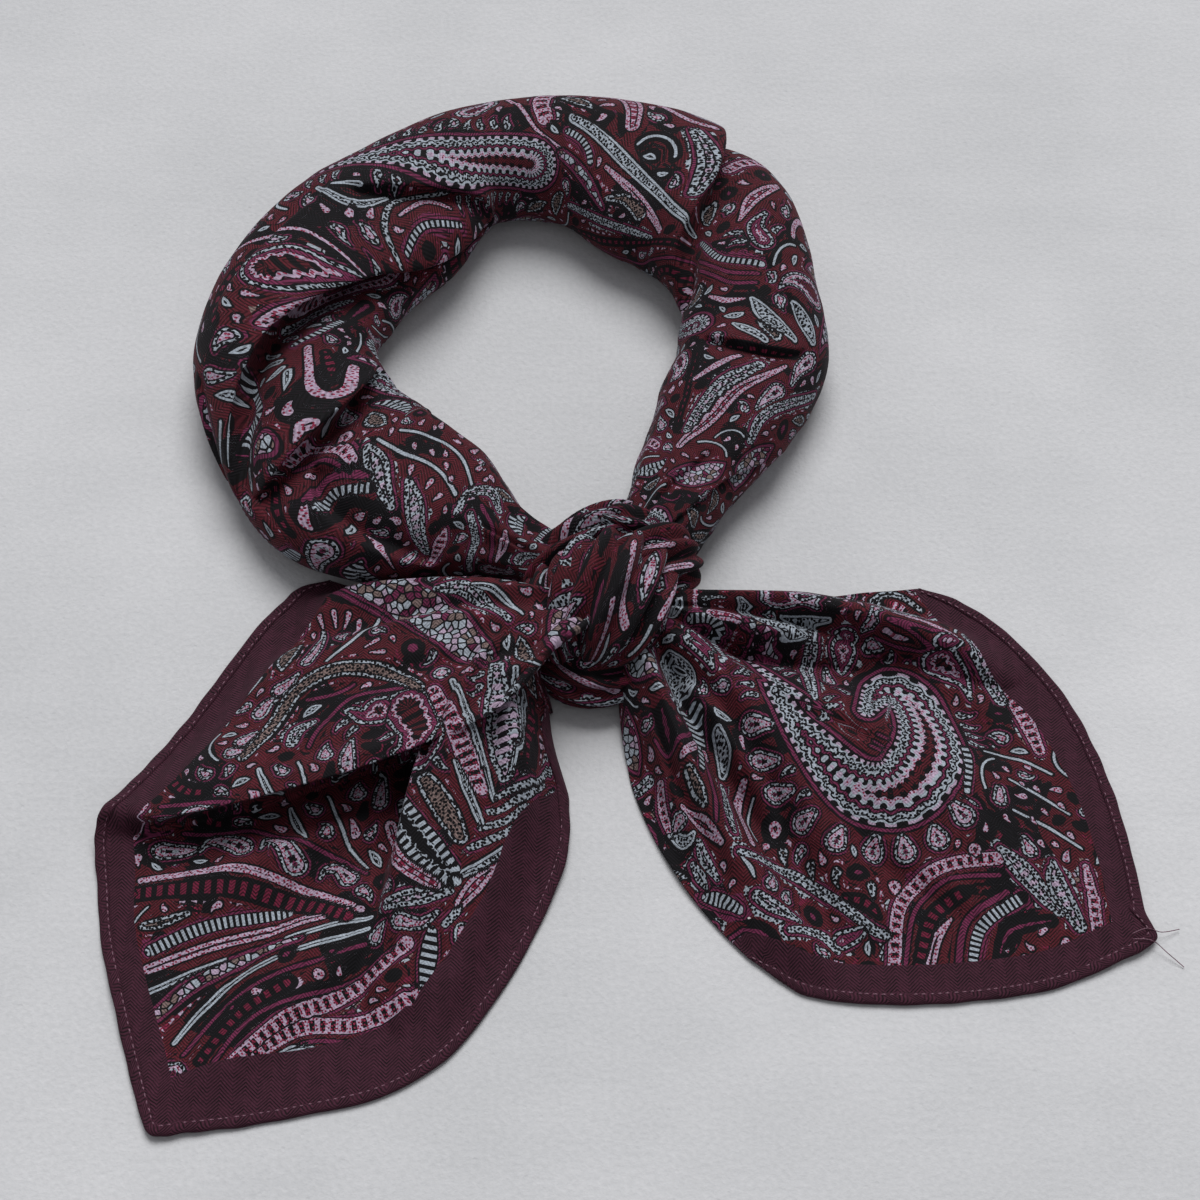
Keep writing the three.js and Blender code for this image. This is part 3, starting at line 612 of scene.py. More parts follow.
def end_skin(end, thread, share, fine=True):
    """Top of an end's cloth: thread number across it, and share along the thread to the hem."""
    tip_x, tip_y, bow, start, lift, _ = np.moveaxis(through(end["threads"], thread), -1, 0)
    (back_x, back_y), (front_x, front_y) = end["mouth"]
    start_x, start_y = back_x + (front_x - back_x) * start, back_y + (front_y - back_y) * start
    run_x, run_y = tip_x - start_x, tip_y - start_y
    length = np.hypot(run_x, run_y)
    sway = 4 * bow * share * (1 - share) / length
    plan = np.stack([start_x + run_x * share - run_y * sway, start_y + run_y * share + run_x * sway], -1)
    height, lean = folds_over(end, plan)
    to_edge = np.minimum(thread, len(end["threads"]) - 1 - thread)
    tuck = np.sqrt(1 - (1 - np.minimum(to_edge, 1)) ** 2)
    rim = smooth_step((1 - share) * length, 0, RIM_SLOPE_MM)
    raised = (TUCKED_SHARE + (1 - TUCKED_SHARE) * tuck) * rim
    z = REST_MM + height * raised + lift * (1 - rim)
    if fine:
        grip = np.exp(-share * length / GATHER_REACH_MM)
        gather = GATHER_DEPTH_MM * grip * pleats_round(np.pi * GATHERS * start, 1.7, 1.5)
        soft = sum(depth * ripples(thread * across, share * along, seed)
                   for depth, across, along, seed in END_RIPPLES)
        z = z + (gather + creases_over(end, plan)) * tuck * rim + soft * (0.25 + 0.75 * rim)
    return lying_on(np.concatenate([plan + lean * rim[..., None], z[..., None]], -1), REST_MM * 0.7)


print("left end: longest thread", round(max(math.hypot(r[0] + 8, r[1] + 17)
                                            for r in LEFT_END["threads"])), "mm")

# %% [markdown]
# ## Sewn edge
# Both ends finish in a machine-sewn hem: the edge is turned twice, so it is a flat roll about 3 mm
# wide that stands a little over the cloth, and a row of small stitches runs along its inner side.
# The hem is its own closed strip round the tips of the threads, and each stitch is a tiny capsule,
# because seen close they are separate little pads of thread that catch the light.

# %% The hem and its stitches
HEM_WIDTH_MM = 3.3
HEM_THICKNESS_MM = 1.7
HEM_COLUMNS = 420
HEM_SIDES = 14
HEM_TUCK_COLUMNS = 26  # over which the hem slims where it goes under a fold
HEM_TUCKED_SHARE = 0.15  # of its thickness is left there
HEM_UNEVEN = 0.07  # of its width
HEM_SQUARENESS = 0.7, 0.8  # sideways and upwards; 1 would be an ellipse
TIP_STEP = 0.02  # of a thread, back from its tip, to find its direction
LEAST_SLANT = 0.35  # sine of the angle at which a thread meets the edge, at least
STITCH_PITCH_MM = 2.1
STITCH_LENGTH_MM = 1.35
STITCH_RADIUS_MM = 0.2
STITCH_SIDES = 6
STITCH_PROFILE = ((0, 0.35), (0.15, 0.85), (0.5, 1), (0.85, 0.85), (1, 0.35))  # share of length, of radius
STITCH_INSET_MM = 2.55  # from the edge
SUNK_SHARE = 0.12  # of the stitches lie deep in the cloth and don't show


def share_inside(end, thread, distance):
    """Share along a thread that lies a distance in from the edge."""
    last = len(end["threads"]) - 1
    edge = unit((end_skin(end, np.minimum(thread + NEARBY, last), 1.0 + 0 * thread, False)
                 - end_skin(end, np.maximum(thread - NEARBY, 0), 1.0 + 0 * thread, False))[..., :2])
    tip, inner = (end_skin(end, thread, s + 0 * thread, False)[..., :2] for s in (1.0, 1 - TIP_STEP))
    run = (tip - inner) / TIP_STEP
    square = np.abs(edge[..., 0] * run[..., 1] - edge[..., 1] * run[..., 0])
    return 1 - distance / np.maximum(square, np.linalg.norm(run, axis=-1) * LEAST_SLANT)


def hem_line(end, threads, inset):
    """Points on the cloth along the edge, this far in from it."""
    return end_skin(end, threads, share_inside(end, threads, inset))


def hem_rings(end):
    """Rings of the hem's flat roll, from its first thread to its last."""
    threads = threads_across(end, HEM_COLUMNS)
    outer, inner = hem_line(end, threads, 0.0), hem_line(end, threads, HEM_WIDTH_MM)
    middle, half = (outer + inner) / 2, (outer - inner) / 2
    turn = sides_round(HEM_SIDES)
    wide = squared(np.cos(turn), HEM_SQUARENESS[0])
    high = squared(np.sin(turn), HEM_SQUARENESS[1]) * HEM_THICKNESS_MM / 2
    swell = 1 + HEM_UNEVEN * ripples(threads * 1.7, 0, 31)
    tucked = np.minimum(np.arange(HEM_COLUMNS), np.arange(HEM_COLUMNS)[::-1]) / HEM_TUCK_COLUMNS
    swell *= HEM_TUCKED_SHARE + (1 - HEM_TUCKED_SHARE) * smooth_step(tucked, 0, 1)
    rings = middle[:, None] + half[:, None] * wide[:, None] * swell[:, None, None]
    rings[..., 2] += (high + HEM_THICKNESS_MM / 2 - REST_MM + 0.1) * swell[:, None]
    return lying_on(rings)


def spaced_along(line, pitch):
    """Runs at an even pitch along a line, and a function that finds the point at a run."""
    lengths = run_along(line)
    at = np.arange(pitch, lengths[-1] - pitch, pitch)
    return at, lambda s: np.stack([np.interp(s, lengths, line[:, k]) for k in range(3)], -1)


def stitch_row(name, end):
    """One piece of all stitches of an end: capsules laid on the hem."""
    line = hem_line(end, threads_across(end, HEM_COLUMNS * 2), STITCH_INSET_MM)
    line[:, 2] += HEM_THICKNESS_MM - REST_MM + 0.02
    at, place = spaced_along(line, STITCH_PITCH_MM)
    random = np.random.default_rng(41)
    points, faces = [], []
    turn = sides_round(STITCH_SIDES)
    for s in at:
        if random.random() < SUNK_SHARE:
            continue
        s = s + random.uniform(-0.2, 0.2)
        a, b = place(s), place(s + STITCH_LENGTH_MM * random.uniform(0.75, 1.1))
        a[2], b[2] = a[2] - random.uniform(0, 0.14), b[2] - random.uniform(0, 0.14)
        forward = (b - a) / np.linalg.norm(b - a)
        side = np.cross(forward, (0, 0, 1.0))
        base = len(points)
        for share, swell in STITCH_PROFILE:
            middle = a + (b - a) * share + np.array([0, 0, 0.12]) * (swell - 0.6)
            points += [middle + STITCH_RADIUS_MM * swell * (side * math.cos(t) * 1.2
                       + np.array([0, 0, math.sin(t)])) for t in turn]
        index = np.arange(base, len(points)).reshape(-1, STITCH_SIDES)
        faces += grid_quads(np.concatenate([index, index[:, :1]], 1)).tolist()
        faces += [index[0].tolist(), index[-1, ::-1].tolist()]
    return make_piece(name, np.array(points), faces)


print("hem", HEM_WIDTH_MM, "mm wide, a stitch each", STITCH_PITCH_MM, "mm")

# %% [markdown]
# ## Chart of a cloth surface
# The print lies in the flat cloth, so its places are worked out on a chart: where each point of the
# draped end would be if the end were laid flat again. The plan of the end is nearly that chart; only
# the folds hide some length. Springs between neighbours, each as long as on the cloth, push the plan
# apart until the chart is right. Without this, the print would smear down the steep sides of folds.

# %% Lay an end flat
FLAT_ROUNDS = 1200
CHART_COLUMNS, CHART_ROWS = 54, 44
CLOTH_INSET_MM = 0.6 * HEM_WIDTH_MM  # the cloth ends under the hem, this far from the edge


def laid_flat(points):
    """Plan of a grid of points, relaxed until neighbours are as far apart as on the cloth."""
    columns, rows = points.shape[:2]
    flat = points[..., :2].copy()
    springs = []
    for i, j in ((1, 0), (0, 1), (1, 1), (1, -1)):
        a = (slice(0, columns - i), slice(max(-j, 0), rows - max(j, 0)))
        b = (slice(i, columns), slice(max(j, 0), rows - max(-j, 0)))
        springs.append((a, b, np.linalg.norm(points[b] - points[a], axis=-1)))
    for _ in range(FLAT_ROUNDS):
        pull, count = np.zeros_like(flat), np.zeros((columns, rows, 1))
        for a, b, rest in springs:
            gap = flat[b] - flat[a]
            length = np.maximum(np.linalg.norm(gap, axis=-1), 1e-6)
            move = gap * ((length - rest) / (2 * length))[..., None]
            pull[a] += move
            pull[b] -= move
            count[a] += 1
            count[b] += 1
        flat += pull / count
    return flat


def stretched(coarse, columns, rows):
    """A coarse grid read at more columns and rows."""
    def weights(count, among):
        """How much each coarse row counts at each fine one."""
        at = np.linspace(0, among - 1, count)
        low = np.minimum(at.astype(int), among - 2)
        matrix = np.zeros((count, among))
        matrix[np.arange(count), low] = 1 - (at - low)
        matrix[np.arange(count), low + 1] += at - low
        return matrix

    across = np.einsum("ai,ijk->ajk", weights(columns, coarse.shape[0]), coarse)
    return np.einsum("bj,ajk->abk", weights(rows, coarse.shape[1]), across)


def end_grid(end, columns, rows, inset, fine=True):
    """An end's cloth from the mouth to an inset from its edge, with its grid of threads and shares."""
    threads = threads_across(end, columns)
    until = share_inside(end, threads, inset)
    thread, share = np.broadcast_arrays(threads[:, None], until[:, None] * np.linspace(0, 1, rows))
    return end_skin(end, thread, share, fine)


def chart_of_end(end):
    """Chart places of an end's cloth, from the mouth to under its hem."""
    return laid_flat(end_grid(end, CHART_COLUMNS, CHART_ROWS, CLOTH_INSET_MM, fine=False))


print("charts are relaxed on", CHART_COLUMNS, "by", CHART_ROWS, "points in", FLAT_ROUNDS, "rounds")

# %% [markdown]
# ## Knot
# The knot is one pass of gathered cloth round another. What the eye reads is a few thick, pleated
# wraps that press on each other, so each wrap is its own piece: a swept lobe with rounded ends, along
# a bent line, whose pleats run along it and twist a little, as cloth does when it is pulled tight. The
# hidden core fills the space where the ends pass through.

# %% Wraps of the knot
KNOT_WRAPS = [
    # name, path (from, via, to), half width, half thickness, pleats, their depth, twist in turns, lean
    ("knot_core", ((-11, -13, 10), (2, -11, 11), (15, -4, 11)), 14, 11.5, 8, 0.9, 0.1, 0.0),
    ("knot_under", ((-15, -25, 7), (-1, -31.5, 7.5), (15, -24, 7)), 8, 7, 8, 1.3, 0.3, 0.4),
    ("knot_side", ((-14, -1, 13), (-14.5, -15, 15), (-10.5, -29, 10)), 6.5, 8, 7, 1.4, 0.25, 0.2),
    ("knot_rear", ((-18, -9, 11), (-4, 5.5, 15), (12, 17.5, 14)), 9.5, 9.5, 9, 2.1, 1.3, 0.0),
    ("knot_knob", ((2, 14, 13), (8, 9, 17), (19, 6.5, 13)), 8, 8.5, 8, 1.5, -0.6, 0.5),
    ("knot_collar", ((1, -9, 20), (14, 0, 17.5), (25, 6.5, 13)), 12, 9, 10, 2.1, 0.1, 0.7),
    ("knot_front", ((6, 6, 14), (3, -12, 23.5), (-3, -29, 12.5)), 16, 9.5, 11, 2.3, 0.35, 0.1),
    ("knot_cheek", ((13, -6, 16), (14, -15, 15), (9.5, -26, 11)), 6.5, 8, 6, 1.5, 0.2, 0.3)]
WRAP_RINGS, WRAP_SIDES = 120, 96
GATHERED = 1.9  # the grooves hide nearly half of the cloth's width, so the print is squeezed
WRAP_UNEVEN_MM = 0.35


def wrap_rings(path, half_width, half_thickness, pleats, depth, twist, lean):
    """Rings of a wrap, and the cloth's own places on them for the print."""
    turn = np.linspace(0, np.pi, WRAP_RINGS)
    t = (0.5 - 0.5 * np.cos(turn))[:, None]
    centre = parabola(*path, t)
    forward = unit(parabola(*path, t + 0.01) - parabola(*path, t - 0.01))
    up = unit(np.array([0, 0, 1.0]) - forward * forward[:, 2:])
    side = np.cross(forward, up)
    angle = sides_round(WRAP_SIDES)[None, :]
    pleat = pleats_round(pleats / 2 * angle + 2 * np.pi * twist * t + lean, 2.1, 2.2)
    uneven = WRAP_UNEVEN_MM * ripples(t * 1.5, angle, int(10 * half_width), around=4)
    relief = depth * pleat + uneven
    swell = np.maximum(np.sin(turn) ** 0.6, 0.02)[:, None]
    wide = (half_width + relief) * swell * np.cos(angle)
    thick = (half_thickness + relief) * swell * np.sin(angle)
    rings = centre[:, None] + side[:, None] * wide[..., None] + up[:, None] * thick[..., None]
    run = run_along(centre)[:, None] + 0 * angle
    girth = GATHERED * (half_width + half_thickness) / 2 * (angle + 0.6 * twist * t)
    return lying_on(rings), np.stack([run, girth], -1)


print(len(KNOT_WRAPS), "wraps in the knot")

# %% [markdown]
# ## Motifs of the print
# The print is a traditional paisley: curled drops called botehs, leaves, dotted strips and little
# blots on a burgundy ground. Each motif is a disk swept along a short curved spine while its radius
# changes, which gives drops, leaves and strips alike. For every point of cloth the nearest motif is
# found, with how deep the point lies inside its outline and how far along the outline it is. The
# shader then paints rings by depth and dots by run, so edges stay crisp however the cloth is draped.

# %% Styles of motif
STYLES = ["grand", "drop", "pale_line", "pale_strip", "dark", "blot", "lilac", "pebbles", "dots",
          "taupe", "zebra", "magenta_line", "ladder", "rings"]
SPINE_STEP_MM = 0.9
OUTSIDE_MM = 2.5  # a motif is felt this far outside its outline
NO_MOTIF_MM = -9.0  # depth where none is felt
SWIRL_ROWS = 7
TOOTH_MM = 3.0  # from tooth to tooth along an outline
TEETH_MM = {"ladder": 1.5, "zebra": 2.1, "dots": 2.7, "dark": 3.0}


def spine_disks(spine):
    """Disks (x, y, radius) at an even pitch along a smooth spine, and the run along it."""
    spine = np.asarray(spine, float)
    steps = max(int(np.linalg.norm(np.diff(spine[:, :2], axis=0), axis=1).sum() / SPINE_STEP_MM), 6)
    disks = through(spine, np.linspace(0, len(spine) - 1, steps + 1))
    disks[:, 2] = np.maximum(disks[:, 2], 0.05)
    return disks


def swirl(x, y, heading, length, curl, radius, shape):
    """Spine rows of a motif from its head: a drop tapers, a leaf swells midway, a strip stays even."""
    t = np.linspace(0, 1, SWIRL_ROWS)
    turn = heading + curl * t**1.5
    step = length / (SWIRL_ROWS - 1)
    xs = x + np.concatenate([[0], np.cumsum(np.cos(turn[1:]) * step)])
    ys = y + np.concatenate([[0], np.cumsum(np.sin(turn[1:]) * step)])
    taper = {"drop": (1 - t) ** 0.75 + 0.02, "leaf": np.sin(np.pi * np.clip(t, 0.04, 0.97)) ** 0.8,
             "strip": np.ones(SWIRL_ROWS)}[shape]
    return np.stack([xs, ys, radius * taper], -1)


def motifs_felt(places, motifs):
    """For each chart place, the nearest motif: depth inside its outline, run along it and a code of its
    number and style; and the nearest place on its spine, with the radius there."""
    flat = places.reshape(-1, 2)
    felt = np.tile([NO_MOTIF_MM, 0, 0], (len(flat), 1))
    spine_at = np.concatenate([flat, np.full((len(flat), 1), NO_MOTIF_MM)], -1)
    for number, (name, spine) in enumerate(motifs):
        disks = spine_disks(spine)
        reach = disks[:, 2].max() + OUTSIDE_MM
        low, high = disks[:, :2].min(0) - reach, disks[:, :2].max(0) + reach
        near = np.flatnonzero(((flat > low) & (flat < high)).all(1))
        if not len(near):
            continue
        off = flat[near, None] - disks[None, :, :2]
        best = (disks[:, 2] - np.hypot(off[..., 0], off[..., 1])).argmax(1)
        heading = np.gradient(disks, axis=0)
        pitch = np.hypot(heading[:, 0], heading[:, 1])
        heading /= pitch[:, None]
        away = flat[near] - disks[best, :2]
        ahead = (away * heading[best, :2]).sum(1)
        left = heading[best, 0] * away[:, 1] - heading[best, 1] * away[:, 0]
        slid = np.clip(ahead, np.where(best == 0, 0, -pitch[best] / 2),
                       np.where(best == len(disks) - 1, 0, pitch[best] / 2))
        centre = disks[best] + heading[best] * slid[:, None]
        own = centre[:, 2] - np.hypot(flat[near, 0] - centre[:, 0], flat[near, 1] - centre[:, 1])
        wins = own > felt[near, 0]
        behind = (best == 0) & (ahead < 0)
        round_head = -disks[0, 2] * np.arctan2(-ahead, np.abs(left))
        travelled = np.concatenate([[0], np.cumsum(pitch[:-1])])[best] + slid
        run = np.where(behind, round_head, travelled) / TEETH_MM.get(name, TOOTH_MM)
        code = np.full(len(near), number * len(STYLES) + STYLES.index(name))
        felt[near[wins]] = np.stack([own, run, code], -1)[wins]
        spine_at[near[wins]] = centre[wins]
    shape = places.shape[:-1] + (3,)
    return felt.reshape(shape), spine_at.reshape(shape)


print(len(STYLES), "styles of motif")

# %% [markdown]
# ## Small motifs between the large ones
# A paisley leaves no ground empty: rows of petals follow the large drops, and leaves, sprigs and short
# strips fill what is left. Drawing hundreds of them by hand would be slow, so the large ones get their
# petals by rule and the rest is tried at random, with a fixed seed: a raster holds how much free space
# each place has, and a motif stays only where all of its disks fit.

# %% Small motifs that fill the ground
# shape, style, radius from and to, length in radii, curl from and to, how often among its size
FILLERS = [
    ("drop", "grand", 7.5, 10, 3, 1.2, 2.2, 2), ("leaf", "pebbles", 4.5, 6.5, 4, 0.2, 1.2, 2),
    ("leaf", "zebra", 3, 4.2, 5, 0.4, 1.4, 1), ("drop", "drop", 3.5, 5.5, 3.2, 0.8, 2.4, 5),
    ("strip", "pale_strip", 1.4, 2, 14, 0.5, 1.8, 4), ("strip", "dots", 1.8, 2.5, 10, 0.4, 1.5, 3),
    ("strip", "lilac", 1.2, 1.8, 14, 0.5, 1.8, 3), ("strip", "dark", 1.6, 2.4, 9, 0.4, 1.6, 3),
    ("strip", "pale_line", 0.5, 0.7, 24, 0.5, 2, 3), ("leaf", "taupe", 2, 3, 4.5, 0.3, 1.2, 2),
    ("drop", "drop", 2, 3.2, 2.6, 0.6, 2, 6), ("strip", "ladder", 0.9, 1.3, 13, 0.4, 1.6, 3),
    ("leaf", "pale_line", 1, 1.7, 4, 0.3, 1.2, 3), ("leaf", "blot", 1.4, 2.6, 2.6, 0.2, 1, 7),
    ("strip", "magenta_line", 0.55, 0.8, 18, 0.5, 2.2, 5), ("drop", "drop", 1.5, 2.3, 2.4, 0.4, 1.6, 7),
    ("drop", "lilac", 0.9, 1.4, 2.6, 0.5, 1.6, 3)]
FILLER_ROUNDS = [(0, 3, 4), (3, 10, 70), (10, 17, 280)]  # from and to in the table, tries a 10 cm2
FILLER_SPACE_MM = 0.9
SPACE_CELL_MM = 0.5
SPACE_KNOWN_MM = 12.0
SCALLOPED_MM = 3.3  # a motif at least as thick as this wears a row of petals round it
SCALLOP_PITCH_MM = 3.9
# style, radius, length and gap from the outline, then how far a petal leans back and curls, in radians
SCALLOP = ("drop", 1.15, 4.4, 1.9, 0.5, 0.9)


def petals(spine):
    """A row of small drops round a motif, which point outwards and a little back."""
    disks = spine_disks(spine)
    heading = unit(np.gradient(disks[:, :2], axis=0))
    style, radius, length, gap, back, curl = SCALLOP
    row = []
    for side in (-1, 1):
        out = side * np.stack([-heading[:, 1], heading[:, 0]], -1)
        edge = disks[:, :2] + out * (disks[:, 2:] + gap)
        run = run_along(edge)
        for at in np.arange(SCALLOP_PITCH_MM / 2, run[-1], SCALLOP_PITCH_MM):
            x, y, out_x, out_y = (np.interp(at, run, v) for v in (*edge.T, *out.T))
            towards = math.atan2(out_y, out_x) - back * side
            row.append((style, swirl(x, y, towards, length, curl * side, radius, "drop")))
    return row


def note_disks(space, low, disks):
    """Lowers the free space round some disks, on a raster of cells."""
    for x, y, radius in disks:
        reach = radius + SPACE_KNOWN_MM
        first = np.maximum((np.array([x, y]) - reach - low) / SPACE_CELL_MM, 0).astype(int)
        last = np.maximum((np.array([x, y]) + reach - low) / SPACE_CELL_MM, 0).astype(int)
        window = space[first[0]:last[0] + 1, first[1]:last[1] + 1]
        at_x = low[0] + SPACE_CELL_MM * (first[0] + np.arange(window.shape[0])) - x
        at_y = low[1] + SPACE_CELL_MM * (first[1] + np.arange(window.shape[1])) - y
        np.minimum(window, np.hypot(at_x[:, None], at_y[None, :]) - radius, out=window)


def has_room(space, low, disks, gap):
    """Whether all disks of a motif fit with a gap round them."""
    cells = np.rint((disks[:, :2] - low) / SPACE_CELL_MM).astype(int)
    cells = np.clip(cells, 0, np.array(space.shape) - 1)
    return (space[cells[:, 0], cells[:, 1]] > disks[:, 2] + gap).all()


def fill_ground(motifs, places, seed, fillers=FILLERS, rounds=FILLER_ROUNDS, spread=math.pi):
    """Adds petals and seeded small motifs wherever they fit between those that are there."""
    random = np.random.default_rng(seed)
    motifs = list(motifs)
    low, high = places.reshape(-1, 2).min(0), places.reshape(-1, 2).max(0)
    space = np.full(((high - low) / SPACE_CELL_MM).astype(int) + 2, SPACE_KNOWN_MM)
    for _, spine in motifs:
        note_disks(space, low, spine_disks(spine)[::2])
    thick = [spine for _, spine in motifs if max(row[2] for row in spine) >= SCALLOPED_MM]
    for style, spine in [petal for each in thick for petal in petals(each)]:
        disks = spine_disks(spine)
        if has_room(space, low, disks, 0.5 * FILLER_SPACE_MM):
            motifs.append((style, spine))
            note_disks(space, low, disks[::2])
    areas = (high - low).prod() / 1000  # of 10 cm2
    for first, last, tries in rounds:
        rows = [row for row in fillers[first:last] for _ in range(row[-1])]
        least = min(row[2] for row in rows) + FILLER_SPACE_MM
        free = np.flatnonzero(space > least)
        for _ in range(int(tries * areas)):
            if not len(free):
                break
            shape, style, small, large, long, bent_from, bent_to, _ = rows[random.integers(len(rows))]
            radius = random.uniform(small, large)
            curl = random.uniform(bent_from, bent_to) * random.choice((-1, 1))
            heading = random.uniform(-spread, spread) + math.pi * random.integers(2)
            cell = divmod(free[random.integers(len(free))], space.shape[1])
            x, y = low + SPACE_CELL_MM * np.array(cell)
            spine = swirl(x, y, heading, radius * long, curl, radius, shape)
            disks = spine_disks(spine)
            if has_room(space, low, disks, FILLER_SPACE_MM):
                motifs.append((style, spine))
                note_disks(space, low, disks[::2])
                free = free[space.ravel()[free] > least]
    return motifs


print(len(FILLERS), "kinds of small motif")

# %% [markdown]
# ## Where the large motifs lie
# A paisley print has large curled drops with smaller leaves and strips swirling round them. The rows
# below are spines on the charts, in millimetres, with a radius at each row, so that the large forms
# lie where such a print has them on this scarf. Everything between them is filled at random, but with
# a fixed seed, so that each run gives the same cloth.

# %% Featured motifs
def small_drops(style, head, tail, places):
    """A row of motifs of one style and size, from x and y of each one's head to those of its tail."""
    return style, *[[(x, y, head), (u, v, tail)] for x, y, u, v in places]


def each_motif(table):
    """Style and spine of each motif, from rows that hold a style and the spines of its motifs."""
    return [(style, spine) for style, *spines in table for spine in spines]


